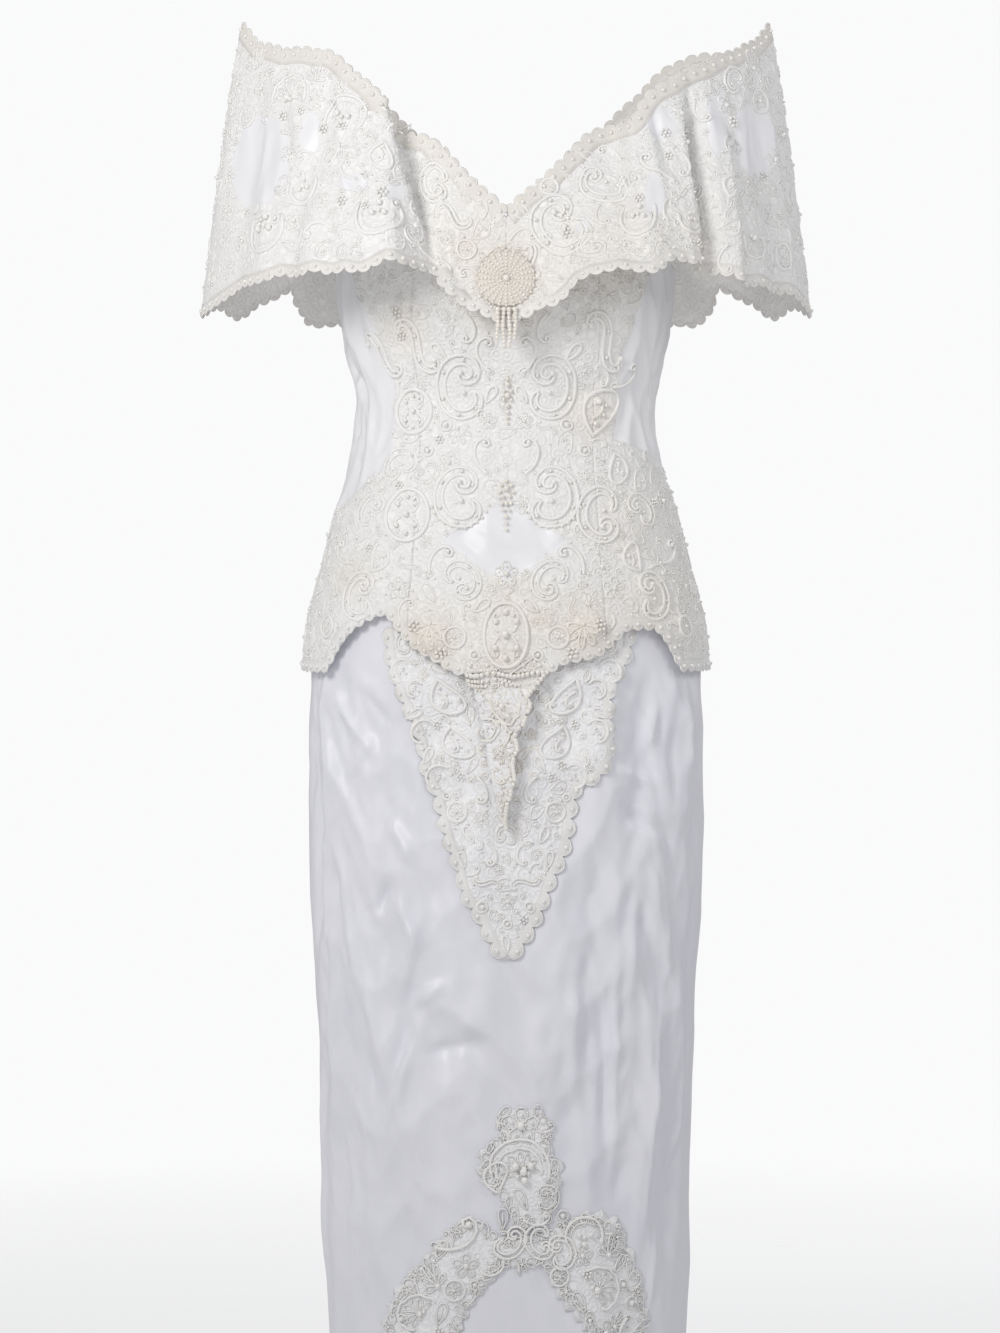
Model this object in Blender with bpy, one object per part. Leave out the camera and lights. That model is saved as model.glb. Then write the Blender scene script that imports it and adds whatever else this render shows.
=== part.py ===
"""A fitted satin wedding gown with a wide lace collar, in the hollow form that it has when worn.

Metres, +Z up. The front faces -Y and +X is the viewer's right. The origin is the centre of the waist.
The tables are in millimetres and degrees. A turn is an angle round the body: 0 at centre front, positive
towards +X, 180 at centre back.
"""

import bisect
import math
from collections import namedtuple

import bmesh
import bpy
from mathutils import Vector

MM = 0.001

# Walls and seams
SATIN_WALL = 1.5
LACE_WALL = 2.0
APPLIQUE_WALL = 1.5
APPLIQUE_SEAT = 0.6
SEAM_GAP = 0.3
LACE_RISE = 0.8

# Points across and up each panel, and scallops along its hem
Grid = namedtuple("Grid", "across up scallops")
FRONT_GRID = Grid(24, 34, 6)
SIDE_GRID = Grid(12, 34, 4)
BACK_GRID = Grid(14, 18, 7)
SKIRT_FRONT_GRID = Grid(28, 28, 0)
SKIRT_BACK_GRID = Grid(12, 28, 0)
COLLAR_FRONT_GRID = Grid(36, 7, 9)
COLLAR_BACK_GRID = Grid(22, 6, 8)
V_LACE_GRID = Grid(12, 26, 0)
POINT_GRID = Grid(6, 12, 0)
FLOWER_GRID = Grid(4, 10, 0)
ARCH_GRID = Grid(4, 26, 0)
DROP_GRID = Grid(2, 6, 0)

# Body form
ROUNDNESS = 2.3
BUST_X = 70.0
BUST_Z = 125.0
BUST_WIDTH = 45.0
BUST_HEIGHT = 50.0
BUST_RISE = 7.0
ARC_RADIUS = 150.0
BODY_REACH = 150.0

# Heights and turns
SKIRT_TOP = -130.0
HEM_HEIGHT = -1040.0
BODICE_TOP_MIDDLE = 200.0
BODICE_HEM_MIDDLE = -240.0
POINT_HALF_TURN = 8.3
POINT_FADE = 3.0
CENTRE_BACK = 180.0
SIDE_SEAM = 90.0

# Beaded point and pearl drops
POINT_SEAT = 3.2
POINT_LEAN = 5.2
POINT_CROWN = 2.5
FLOWER_CROWN = 1.0
ARCH_CROWN = 0.6
DROP_SEAT = 0.7
DROP_WALL = 1.4
DROP_CROWN = 1.6

# Pearl ornament. Each ring is (share of the radius, share of the thickness).
FAN_HEIGHT = 101.0
FAN_RADIUS = 26.0
FAN_THICKNESS = 3.6
FAN_RIBS = 12
FAN_RINGS = [(0.45, 1.0), (0.8, 0.8), (1.0, 0.35)]
FAN_CROWN = 1.2
FAN_GROOVE_DEPTH = 0.78
FAN_GROOVE_RADIUS = 0.97
FAN_BACK_RADIUS = 0.96
FAN_SEAT = 3.4
TASSEL_SEAT = 4.6
TASSEL_STRANDS = 4
TASSEL_PITCH = 5.2
TASSEL_STRAND_WIDTH = 3.6
TASSEL_HEAD = 7.0
TASSEL_LENGTH = 36.0
TASSEL_SIDE_LENGTH = 31.0
TASSEL_THICKNESS = 3.0

# Buttons
BUTTON_COUNT = 11
BUTTON_TOP = 72.0
BUTTON_PITCH = 27.0
BUTTON_RADIUS = 5.5
BUTTON_HALF_DEPTH = 2.4
BUTTON_FROM_SEAM = 7.0
BUTTON_SEAT = 0.7

# Collar
COLLAR_FLARE = 1.2
COLLAR_SPREAD = 0.85
COLLAR_SEAT = 0.8
COLLAR_BLEND = 4.0
COLLAR_SEAM_SHARE = 0.0005
SCALLOP_DROP = 3.5
SCALLOP_RISE = 2.0
SCALLOP_FADE = 6
HEM_SCALLOP = 3.0

Section = namedtuple("Section", "height half_width front back")
BODICE_SECTIONS = [
    Section(-262, 189.5, 131.0, 137.0),
    Section(-240, 187.0, 128.5, 135.5),
    Section(-200, 182.5, 124.5, 132.0),
    Section(-155, 171.0, 119.0, 126.0),
    Section(-100, 157.0, 111.0, 111.5),
    Section(-58, 144.0, 103.0, 96.0),
    Section(0, 136.5, 98.0, 86.0),
    Section(39, 145.0, 106.0, 89.0),
    Section(67, 151.0, 114.0, 91.0),
    Section(94, 154.5, 121.0, 92.0),
    Section(130, 155.0, 125.0, 91.0),
    Section(165, 152.0, 120.5, 89.0),
    Section(220, 150.0, 109.0, 88.0),
    Section(275, 147.0, 97.0, 86.0),
]
SKIRT_SECTIONS = [
    Section(-1045, 158.0, 98.0, 96.0),
    Section(-849, 164.0, 103.0, 100.0),
    Section(-752, 168.0, 106.0, 104.0),
    Section(-641, 171.5, 109.0, 108.0),
    Section(-530, 175.5, 112.0, 114.0),
    Section(-447, 180.5, 115.0, 121.0),
    Section(-364, 182.5, 117.5, 127.0),
    Section(-252, 180.5, 118.5, 129.0),
    Section(-200, 174.8, 117.3, 125.0),
    Section(-160, 167.4, 114.9, 120.0),
    Section(-130, 160.8, 111.7, 115.2),
]

EdgePoint = namedtuple("EdgePoint", "turn height")
BODICE_TOP = [
    EdgePoint(-180, 181), EdgePoint(-160, 208), EdgePoint(-146, 236), EdgePoint(-128, 200),
    EdgePoint(-108, 140), EdgePoint(-90, 124), EdgePoint(-72, 134), EdgePoint(-52, 198),
    EdgePoint(-35, 225), EdgePoint(-25, 215), EdgePoint(-13, 186), EdgePoint(-6, 167),
    EdgePoint(0, 150),
    EdgePoint(6, 167), EdgePoint(13, 186), EdgePoint(25, 215), EdgePoint(35, 225),
    EdgePoint(52, 198), EdgePoint(72, 134), EdgePoint(90, 124), EdgePoint(108, 140),
    EdgePoint(128, 200), EdgePoint(146, 236), EdgePoint(160, 208), EdgePoint(180, 181),
]
BASQUE_HEM = [
    EdgePoint(-180, -238), EdgePoint(-150, -222), EdgePoint(-125, -214), EdgePoint(-90, -240),
    EdgePoint(-59, -244), EdgePoint(-52, -222), EdgePoint(-44, -204), EdgePoint(-33, -193),
    EdgePoint(-30, -202), EdgePoint(-24, -220), EdgePoint(-17, -234), EdgePoint(-8, -247.7),
    EdgePoint(8, -247.7), EdgePoint(12, -238), EdgePoint(22, -231), EdgePoint(28, -218),
    EdgePoint(34, -206), EdgePoint(43, -206), EdgePoint(50, -222), EdgePoint(56, -243),
    EdgePoint(90, -240), EdgePoint(125, -214), EdgePoint(150, -222), EdgePoint(180, -238),
]
PRINCESS_SEAM = [
    EdgePoint(25, -248), EdgePoint(27, -150), EdgePoint(32, 0), EdgePoint(29, 80), EdgePoint(26, 240),
]

LaceEdge = namedtuple("LaceEdge", "height left right")
BODICE_LACE = [
    LaceEdge(-110, -200, 200), LaceEdge(-96, -154, 200), LaceEdge(-80, -137, 170), LaceEdge(-47, -105, 134),
    LaceEdge(-36, -105, 103), LaceEdge(17, -106, 105), LaceEdge(57, -120, 115), LaceEdge(94, -138, 128),
    LaceEdge(130, -150, 140),
]
DIAMOND_HEIGHT = -130.0
DIAMOND_HALF_WIDTH = 50.0
DIAMOND_HALF_HEIGHT = 34.0
LACE_FADE = 10.0
BACK_LACE_BAND = 60.0

Mound = namedtuple("Mound", "x height radius rise")
BODICE_MOUNDS = [
    Mound(-19, 46, 14, 1.6), Mound(21, 46, 14, 1.6),
    Mound(-43, 12, 18, 2.0), Mound(44, 12, 18, 2.0),
    Mound(-92, -12, 17, 2.2), Mound(76, -14, 20, 2.4),
    Mound(-22, -52, 15, 1.8), Mound(20, -52, 15, 1.8),
    Mound(-49, -84, 20, 2.2), Mound(47, -84, 20, 2.2),
    Mound(-100, -112, 24, 2.0), Mound(108, -118, 26, 2.4),
    Mound(0, -165, 15, 2.6), Mound(0, -217, 27, 3.4),
    Mound(-64, -218, 17, 6.5), Mound(76, -208, 19, 6.0),
    Mound(-108, -176, 22, 2.4), Mound(122, -178, 22, 2.6),
    Mound(-150, -205, 24, 2.6), Mound(152, -210, 24, 2.6),
]

Fold = namedtuple("Fold", "turn_high height_high turn_low height_low width rise")
SKIRT_FOLDS = [
    Fold(-22, -420, -38, -660, 15, 4.0),
    Fold(-46, -330, -33, -520, 16, -3.5),
    Fold(-72, -262, -50, -620, 14, -4.0),
    Fold(-58, -262, -62, -430, 12, 3.0),
    Fold(-38, -255, -52, -380, 12, -3.0),
    Fold(28, -372, 44, -420, 12, 5.0),
    Fold(22, -440, 24, -690, 13, -3.0),
    Fold(31, -470, 33, -720, 13, 3.0),
    Fold(44, -460, 40, -725, 16, -3.5),
    Fold(56, -262, 50, -400, 14, -4.0),
    Fold(68, -480, 62, -920, 13, 3.5),
    Fold(-64, -680, -70, -1000, 16, 3.0),
    Fold(112, -300, 134, -560, 18, 4.0),
    Fold(-118, -330, -140, -610, 18, 3.5),
    Fold(150, -420, 146, -900, 18, -3.5),
    Fold(-155, -360, -150, -820, 18, -3.5),
    Fold(100, -620, 104, -980, 18, -3.0),
    Fold(-104, -560, -100, -960, 18, -3.0),
]
BODICE_FOLDS = [
    Fold(-78, 60, -70, -20, 12, -2.0),
    Fold(-66, -10, -82, -60, 10, -2.0),
    Fold(74, 70, 66, -30, 12, -2.2),
    Fold(62, -20, 84, -70, 10, 1.8),
    Fold(120, 10, 150, -30, 12, -2.0),
    Fold(-124, 5, -152, -25, 12, -2.0),
    Fold(128, -40, 156, -70, 12, -1.8),
    Fold(-130, -45, -150, -80, 12, -1.8),
]

# Collar: share goes from centre front (0) over the shoulder point (1) to centre back (2).
# Where y_top is SEWN, the top edge lies on the bodice.
SEWN = None
CollarRow = namedtuple("CollarRow", "share x_top y_top z_top x_low y_low z_low")
COLLAR_LEFT_FRONT = [
    CollarRow(0.00, 0, SEWN, 157, 0, -145, 65),
    CollarRow(0.16, 42, SEWN, 195, 34, -145, 79),
    CollarRow(0.26, 69, SEWN, 224, 52, -147, 93),
    CollarRow(0.34, 94, SEWN, 232, 68, -150, 108),
    CollarRow(0.43, 109, -116, 257, 98, -171, 117),
    CollarRow(0.53, 134, -104, 281, 135, -168, 108),
    CollarRow(0.65, 166, -84, 307, 164, -152, 109),
    CollarRow(0.77, 200, -58, 313, 202, -122, 109),
    CollarRow(0.89, 228, -30, 324, 243, -74, 103),
]
COLLAR_RIGHT_FRONT = [
    CollarRow(0.00, 0, SEWN, 157, 0, -145, 65),
    CollarRow(0.17, 47, SEWN, 198, 46, -149, 84),
    CollarRow(0.28, 74, SEWN, 227, 78, -164, 108),
    CollarRow(0.34, 93, SEWN, 237, 103, -168, 109),
    CollarRow(0.40, 112, -112, 239, 127, -164, 109),
    CollarRow(0.47, 127, -106, 263, 152, -148, 121),
    CollarRow(0.60, 163, -90, 287, 186, -124, 115),
    CollarRow(0.72, 194, -66, 305, 212, -108, 104),
    CollarRow(0.83, 220, -40, 319, 246, -70, 102),
    CollarRow(0.92, 235, -20, 331, 268, -38, 97),
]
COLLAR_BACK = [
    CollarRow(1.00, 245, 0, 347, 282, 0, 84),
    CollarRow(1.08, 240, 20, 330, 271, 34, 97),
    CollarRow(1.17, 222, 40, 326, 255, 58, 90),
    CollarRow(1.26, 195, 56, 328, 232, 78, 104),
    CollarRow(1.37, 163, 69, 322, 211, 95, 119),
    CollarRow(1.53, 122, 77, 288, 187, 114, 92),
    CollarRow(1.64, 94, SEWN, 262, 157, 123, 88),
    CollarRow(1.84, 47, SEWN, 214, 80, 126, 90),
    CollarRow(2.00, 0, SEWN, 187, 0, 125, 86),
]

CollarFold = namedtuple("CollarFold", "share_top share_low width depth")
COLLAR_LEFT_FOLDS = [
    CollarFold(0.335, 0.34, 0.040, 7),
    CollarFold(0.41, 0.43, 0.030, -4),
    CollarFold(0.60, 0.76, 0.040, 7),
    CollarFold(0.70, 0.68, 0.035, -4),
    CollarFold(0.86, 0.90, 0.035, 5),
    CollarFold(1.30, 1.36, 0.050, 8),
    CollarFold(1.52, 1.56, 0.050, -7),
    CollarFold(1.74, 1.76, 0.060, 7),
]
COLLAR_RIGHT_FOLDS = [
    CollarFold(0.44, 0.40, 0.030, -4),
    CollarFold(0.60, 0.60, 0.032, 20),
    CollarFold(0.69, 0.69, 0.030, -7),
    CollarFold(0.84, 0.85, 0.035, 7),
    CollarFold(1.34, 1.38, 0.050, 9),
    CollarFold(1.56, 1.60, 0.050, -7),
    CollarFold(1.76, 1.80, 0.060, 8),
]
COLLAR_MOUNDS = [
    Mound(0.21, 0.50, 0.06, 1.2), Mound(0.33, 0.30, 0.06, 1.4), Mound(0.50, 0.22, 0.07, 1.6),
    Mound(0.56, 0.82, 0.06, 1.2), Mound(0.74, 0.25, 0.07, 1.6), Mound(0.80, 0.80, 0.05, 1.2),
    Mound(0.92, 0.20, 0.05, 1.4), Mound(1.20, 0.22, 0.07, 1.5), Mound(1.45, 0.30, 0.07, 1.6),
    Mound(1.70, 0.28, 0.07, 1.5), Mound(1.88, 0.62, 0.06, 1.2),
]

# An applique is a strip between two edges. Each rung joins a point of one edge to one of the other.
Rung = namedtuple("Rung", "x_left z_left x_right z_right")
V_LACE = [
    Rung(-106, -207, 112, -207), Rung(-104, -235, 108, -232), Rung(-92, -268, 92, -268),
    Rung(-82, -292, 91, -292), Rung(-76, -312, 92, -314), Rung(-72, -334, 82, -338),
    Rung(-64, -356, 63, -352), Rung(-58, -376, 59, -374), Rung(-50, -402, 54, -400),
    Rung(-42, -424, 42, -430), Rung(-36, -446, 34, -452), Rung(-24, -466, 26, -472),
    Rung(-14, -486, 17, -486), Rung(-4, -503, 5, -503),
]
BASQUE_POINT = [
    Rung(-34, -248.2, 34, -248.2), Rung(-30, -262, 26, -262), Rung(-24, -288, 18, -280),
    Rung(-18, -318, 11, -310), Rung(-12, -344, 8, -338), Rung(-5, -372, 5, -366),
    Rung(-2, -386, 3, -384),
]
ARCH_FLOWER = [
    Rung(4, -636, 24, -634), Rung(-6, -644, 34, -646), Rung(-4, -662, 38, -660),
    Rung(-20, -676, 36, -672), Rung(-21, -694, 46, -690), Rung(-8, -712, 44, -708),
    Rung(6, -730, 40, -728), Rung(8, -744, 36, -744),
]
ARCH_LACE = [
    Rung(-110, -868, -66, -876), Rung(-110, -846, -50, -856), Rung(-103, -822, -44, -836),
    Rung(-90, -796, -36, -817), Rung(-68, -772, -24, -800), Rung(-52, -752, -8, -782),
    Rung(-33, -738, -3, -775), Rung(-12, -750, 2, -778), Rung(8, -756, 10, -778),
    Rung(21, -752, 20, -776), Rung(34, -750, 32, -774), Rung(52, -744, 36, -778),
    Rung(72, -734, 44, -794), Rung(95, -742, 56, -812), Rung(108, -766, 70, -828),
    Rung(119, -798, 76, -842), Rung(124, -826, 84, -862), Rung(124, -852, 94, -878),
]
DROP_UPPER = [
    Rung(-2, 18, 4, 18), Rung(-3.5, 10, 5.5, 10), Rung(-5, 0, 7, 0), Rung(-4, -12, 6, -12),
    Rung(-1, -26, 3, -26),
]
DROP_LOWER = [
    Rung(-4, -74, 4, -74), Rung(-8, -84, 8, -84), Rung(-7, -96, 7, -96), Rung(-4, -110, 4, -110),
    Rung(-1.5, -125, 1.5, -125),
]


def smooth(keys, values, at):
    """A smooth curve through a table's values that never overshoots them."""
    at = min(max(at, keys[0]), keys[-1])
    i = min(bisect.bisect_right(keys, at) - 1, len(keys) - 2)

    def slope(k):
        return (values[k + 1] - values[k]) / (keys[k + 1] - keys[k])

    def tangent(k):
        if k == 0:
            return slope(0)
        if k == len(keys) - 1:
            return slope(k - 1)
        before, after = slope(k - 1), slope(k)
        return 0.0 if before * after <= 0 else 2 * before * after / (before + after)

    step = keys[i + 1] - keys[i]
    s = (at - keys[i]) / step
    start = values[i] + step * s * (1 - s) ** 2 * tangent(i) - step * s * s * (1 - s) * tangent(i + 1)
    return start + (values[i + 1] - values[i]) * s * s * (3 - 2 * s)


def column(rows, name):
    return [getattr(row, name) for row in rows]


def edge_height(rows, turn):
    return smooth(column(rows, "turn"), column(rows, "height"), turn)


def ease(value):
    """0 below 0, 1 above 1, and smooth between."""
    value = min(max(value, 0.0), 1.0)
    return value * value * (3 - 2 * value)


def body_point(sections, turn, height):
    """A point of the garment's plain form, in millimetres."""
    heights = column(sections, "height")
    half_width = smooth(heights, column(sections, "half_width"), height)
    front = smooth(heights, column(sections, "front"), height)
    back = smooth(heights, column(sections, "back"), height)
    s = math.sin(math.radians(turn))
    c = math.cos(math.radians(turn))
    power = 2 / ROUNDNESS
    x = half_width * math.copysign(abs(s) ** power, s)
    y = -(front if c > 0 else back) * math.copysign(abs(c) ** power, c)
    bust = math.exp(-(((abs(x) - BUST_X) / BUST_WIDTH) ** 2) - ((height - BUST_Z) / BUST_HEIGHT) ** 2)
    y -= BUST_RISE * bust * max(c, 0) ** 0.5
    return Vector((x, y, height))


def turn_of(sections, x, height):
    """The turn of the front point that has this x and height."""
    half_width = smooth(column(sections, "height"), column(sections, "half_width"), height)
    share = min(abs(x) / half_width, 1.0)
    return math.copysign(math.degrees(math.asin(share ** (ROUNDNESS / 2))), x)


def fold_rise(folds, turn, height):
    """How far the soft ridges and troughs lift the cloth here."""
    rise = 0.0
    along = math.radians(turn) * ARC_RADIUS
    for fold in folds:
        start = Vector((math.radians(fold.turn_high) * ARC_RADIUS, fold.height_high))
        end = Vector((math.radians(fold.turn_low) * ARC_RADIUS, fold.height_low))
        run = end - start
        place = Vector((along, height)) - start
        share = place.dot(run) / run.length_squared
        off = (place - run * share).length
        ends = ease(2.5 * share) * ease(2.5 * (1 - share))
        rise += fold.rise * ends * math.exp(-((off / fold.width) ** 2))
    return rise


def outward(surface, first, second, first_step, second_step):
    """The outward normal of a surface function, by small differences."""
    across = surface(first + first_step, second) - surface(first - first_step, second)
    up = surface(first, second + second_step) - surface(first, second - second_step)
    return across.cross(up).normalized()


def bodice_point(turn, height, out=0.0):
    def surface(a, b):
        return body_point(BODICE_SECTIONS, a, b)

    normal = outward(surface, turn, height, 1.0, 4.0)
    return surface(turn, height) + normal * (out + fold_rise(BODICE_FOLDS, turn, height))


def skirt_point(turn, height, out=0.0):
    def surface(a, b):
        return body_point(SKIRT_SECTIONS, a, b)

    normal = outward(surface, turn, height, 1.0, 4.0)
    return surface(turn, height) + normal * (out + fold_rise(SKIRT_FOLDS, turn, height))


def bodice_lace(turn, height):
    """How far the lace and its thick motifs stand out from the satin of the bodice."""
    x = body_point(BODICE_SECTIONS, turn, height).x
    heights = column(BODICE_LACE, "height")
    inside = min(
        x - smooth(heights, column(BODICE_LACE, "left"), height),
        smooth(heights, column(BODICE_LACE, "right"), height) - x,
    )
    diamond = abs(x) / DIAMOND_HALF_WIDTH + abs(height - DIAMOND_HEIGHT) / DIAMOND_HALF_HEIGHT - 1
    cover = ease(inside / LACE_FADE) * ease(diamond * 4)
    if abs(turn) > SIDE_SEAM:
        over_hem = height - edge_height(BASQUE_HEM, turn)
        cover = ease((BACK_LACE_BAND - over_hem) / LACE_FADE)
    rise = LACE_RISE * cover
    if abs(turn) < SIDE_SEAM:
        for mound in BODICE_MOUNDS:
            off = math.hypot(x - mound.x, height - mound.height) / mound.radius
            rise += mound.rise * ease(1.2 * (1 - off))
    return rise


def scallop(share, count):
    return abs(math.sin(math.pi * count * share))


def wall(name, grid, outer, inner, inner_step, finish):
    """A closed wall between two surfaces of (across, up), each from 0 to 1.

    The inner surface has a point at every inner_step points of the outer one.
    """
    mesh = bmesh.new()
    columns, rows = grid.across, grid.up

    def points(surface, step):
        return [
            [mesh.verts.new(surface(j / columns, i / rows) * MM) for j in range(0, columns + 1, step)]
            for i in range(0, rows + 1, step)
        ]

    outside = points(outer, 1)
    inside = points(inner, inner_step)
    for i in range(rows):
        for j in range(columns):
            low, high = outside[i], outside[i + 1]
            mesh.faces.new((low[j], low[j + 1], high[j + 1], high[j]))
    for low, high in zip(inside, inside[1:]):
        for j in range(len(low) - 1):
            mesh.faces.new((low[j + 1], low[j], high[j], high[j + 1]))

    def rim(outer_line, inner_line):
        for k in range(len(inner_line) - 1):
            stretch = outer_line[k * inner_step : (k + 1) * inner_step + 1]
            for first, second in zip(stretch, stretch[1:]):
                mesh.faces.new((first, second, inner_line[k]))
            mesh.faces.new((stretch[-1], inner_line[k + 1], inner_line[k]))

    rim(outside[0], inside[0])
    rim(outside[-1], inside[-1])
    rim([line[0] for line in outside], [line[0] for line in inside])
    rim([line[-1] for line in outside], [line[-1] for line in inside])
    bmesh.ops.recalc_face_normals(mesh, faces=mesh.faces)
    return keep(name, mesh, finish)


def keep(name, mesh, finish, location=(0, 0, 0), rotation=(0, 0, 0)):
    """Puts a finished mesh into the dress's collection, shaded smooth."""
    data = bpy.data.meshes.new(name)
    mesh.to_mesh(data)
    mesh.free()
    data.shade_smooth()
    data.materials.append(finish)
    thing = bpy.data.objects.new(name, data)
    thing.location = location
    thing.rotation_euler = rotation
    dress.objects.link(thing)
    return thing


def material(name, colour, roughness, metallic=0.0):
    made = bpy.data.materials.new(name)
    made.use_nodes = True
    shader = made.node_tree.nodes["Principled BSDF"]
    shader.inputs["Base Color"].default_value = (*colour, 1.0)
    shader.inputs["Roughness"].default_value = roughness
    shader.inputs["Metallic"].default_value = metallic
    return made


def between_seams(start, end, across):
    """The turn at a share of the way between two seams, half a gap in from each."""
    gap = math.degrees(SEAM_GAP / 2 / ARC_RADIUS)
    return start + gap + (end - start - 2 * gap) * across


def bodice_panel(name, start_turn, end_turn, grid):
    """A bodice panel between two seams. start_turn and end_turn give a turn for a height."""

    def place(across, up):
        level = BODICE_HEM_MIDDLE + (BODICE_TOP_MIDDLE - BODICE_HEM_MIDDLE) * up
        turn = between_seams(start_turn(level), end_turn(level), across)
        beside_point = ease((abs(turn) - POINT_HALF_TURN) / POINT_FADE)
        low = edge_height(BASQUE_HEM, turn) - HEM_SCALLOP * beside_point * scallop(across, grid.scallops)
        high = edge_height(BODICE_TOP, turn)
        return turn, low + (high - low) * up

    def outer(across, up):
        turn, height = place(across, up)
        return bodice_point(turn, height, bodice_lace(turn, height))

    def inner(across, up):
        turn, height = place(across, up)
        return bodice_point(turn, height, -LACE_WALL)

    return wall(name, grid, outer, inner, 2, satin_lace)


def make_bodice():
    def princess(side):
        return lambda height: side * edge_height(
            [EdgePoint(row.height, row.turn) for row in PRINCESS_SEAM], height
        )

    def fixed(turn):
        return lambda height: turn

    bodice_panel("bodice_front", princess(-1), princess(1), FRONT_GRID)
    bodice_panel("bodice_side_left", fixed(-SIDE_SEAM), princess(-1), SIDE_GRID)
    bodice_panel("bodice_side_right", princess(1), fixed(SIDE_SEAM), SIDE_GRID)
    bodice_panel("bodice_back_left", fixed(-CENTRE_BACK), fixed(-SIDE_SEAM), BACK_GRID)
    bodice_panel("bodice_back_right", fixed(SIDE_SEAM), fixed(CENTRE_BACK), BACK_GRID)


def make_skirt():
    def panel(name, start, end, grid):
        def place(across, up):
            return between_seams(start, end, across), HEM_HEIGHT + (SKIRT_TOP - HEM_HEIGHT) * up

        wall(
            name, grid,
            lambda across, up: skirt_point(*place(across, up)),
            lambda across, up: skirt_point(*place(across, up), -SATIN_WALL),
            2, satin,
        )

    panel("skirt_front", -SIDE_SEAM, SIDE_SEAM, SKIRT_FRONT_GRID)
    panel("skirt_back_left", -CENTRE_BACK, -SIDE_SEAM, SKIRT_BACK_GRID)
    panel("skirt_back_right", SIDE_SEAM, CENTRE_BACK, SKIRT_BACK_GRID)


def sewn_depth(x, height, facing):
    """The depth of the collar's outer face where it lies on the bodice."""
    turn = turn_of(BODICE_SECTIONS, x, height)
    if facing > 0:
        turn = CENTRE_BACK - turn
    lift = LACE_WALL + COLLAR_SEAT + LACE_RISE
    return bodice_point(turn, height, lift).y


def collar_rows(front_rows):
    rows = []
    for row in front_rows + COLLAR_BACK:
        if row.y_top is SEWN:
            row = row._replace(y_top=sewn_depth(row.x_top, row.z_top, row.y_low))
        rows.append(row)
    return rows


def collar_surface(rows, folds, side):
    """The collar's outer face as a function of (share, up)."""
    shares = column(rows, "share")
    columns = {field: column(rows, field) for field in CollarRow._fields}

    def surface(share, up):
        def read(field):
            return smooth(shares, columns[field], share)

        down = 1 - up
        flare = math.copysign(abs(down) ** COLLAR_FLARE, down)
        spread = math.copysign(abs(down) ** COLLAR_SPREAD, down)
        x = read("x_top") + (read("x_low") - read("x_top")) * spread
        y = read("y_top") + (read("y_low") - read("y_top")) * flare
        z = read("z_top") + (read("z_low") - read("z_top")) * down
        inward = 0.0
        for fold in folds:
            middle = fold.share_low + (fold.share_top - fold.share_low) * up
            fade = ease(1.6 * down + 0.15)
            inward += fold.depth * fade * math.exp(-(((share - middle) / fold.width) ** 2))
        keep_share = 1 - inward / math.hypot(x, y)
        x *= keep_share
        y *= keep_share
        on_body = abs(sewn_depth(x, z, y)) if abs(x) < BODY_REACH else 0.0
        apart = abs(y) - on_body
        y = math.copysign((abs(y) + on_body + math.hypot(apart, COLLAR_BLEND)) / 2, y) if on_body else y
        wave = scallop(share, (COLLAR_FRONT_GRID if share <= 1 else COLLAR_BACK_GRID).scallops)
        z -= SCALLOP_DROP * wave * max(down, 0) ** SCALLOP_FADE
        z += SCALLOP_RISE * wave * max(up, 0) ** SCALLOP_FADE
        return Vector((side * x, y, z))

    return surface


def collar_normal(surface, share, up, side):
    normal = outward(surface, share, up, 0.008 * side, 0.04)
    if share < 0.01 or share > 1.99:
        normal.x = 0
        normal.normalize()
    return normal


def make_collar():
    for label, side, front_rows, folds in (
        ("left", -1, COLLAR_LEFT_FRONT, COLLAR_LEFT_FOLDS),
        ("right", 1, COLLAR_RIGHT_FRONT, COLLAR_RIGHT_FOLDS),
    ):
        surface = collar_surface(collar_rows(front_rows), folds, side)

        def half(name, first, last, grid):
            def place(across, up):
                if side < 0:
                    across = 1 - across
                return first + (last - first) * across, up

            def face(across, up, out):
                share, up = place(across, up)
                point = surface(share, up) + collar_normal(surface, share, up, side) * out
                if share < 0.002 or share > 1.998:
                    point.x = side * SEAM_GAP / 2
                return point

            def outer(across, up):
                share, _ = place(across, up)
                rise = 0.0
                for mound in COLLAR_MOUNDS:
                    off = math.hypot(share - mound.x, (up - mound.height) * 0.5) / mound.radius
                    rise += mound.rise * ease(1.2 * (1 - off))
                return face(across, up, rise)

            wall(name, grid, outer, lambda across, up: face(across, up, -LACE_WALL), 1, collar_satin_lace)

        half(f"collar_front_{label}", 0.0, 1 - COLLAR_SEAM_SHARE, COLLAR_FRONT_GRID)
        half(f"collar_back_{label}", 1 + COLLAR_SEAM_SHARE, 2.0, COLLAR_BACK_GRID)


def strip(name, rungs, carrier, grid, seat, lean, thick, crown, finish):
    """An applique on the front of the dress, made from the points under it, moved out.

    seat is the gap under it, lean what the gap gains by its top, thick its wall, and crown the extra
    height along its middle.
    """
    keys = list(range(len(rungs)))
    sections, point = carrier

    def place(across, up):
        at = (1 - up) * (len(rungs) - 1)
        left = [smooth(keys, column(rungs, field), at) for field in ("x_left", "z_left")]
        right = [smooth(keys, column(rungs, field), at) for field in ("x_right", "z_right")]
        x = left[0] + (right[0] - left[0]) * across
        height = left[1] + (right[1] - left[1]) * across
        return turn_of(sections, x, height), height

    def face(across, up, lift):
        turn, height = place(across, up)
        return point(turn, height, lift)

    def outer(across, up):
        bow = 4 * across * (1 - across)
        return face(across, up, seat + lean * up + thick + crown * bow)

    def inner(across, up):
        return face(across, up, seat + lean * up)

    return wall(name, grid, outer, inner, 1, finish)


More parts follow.
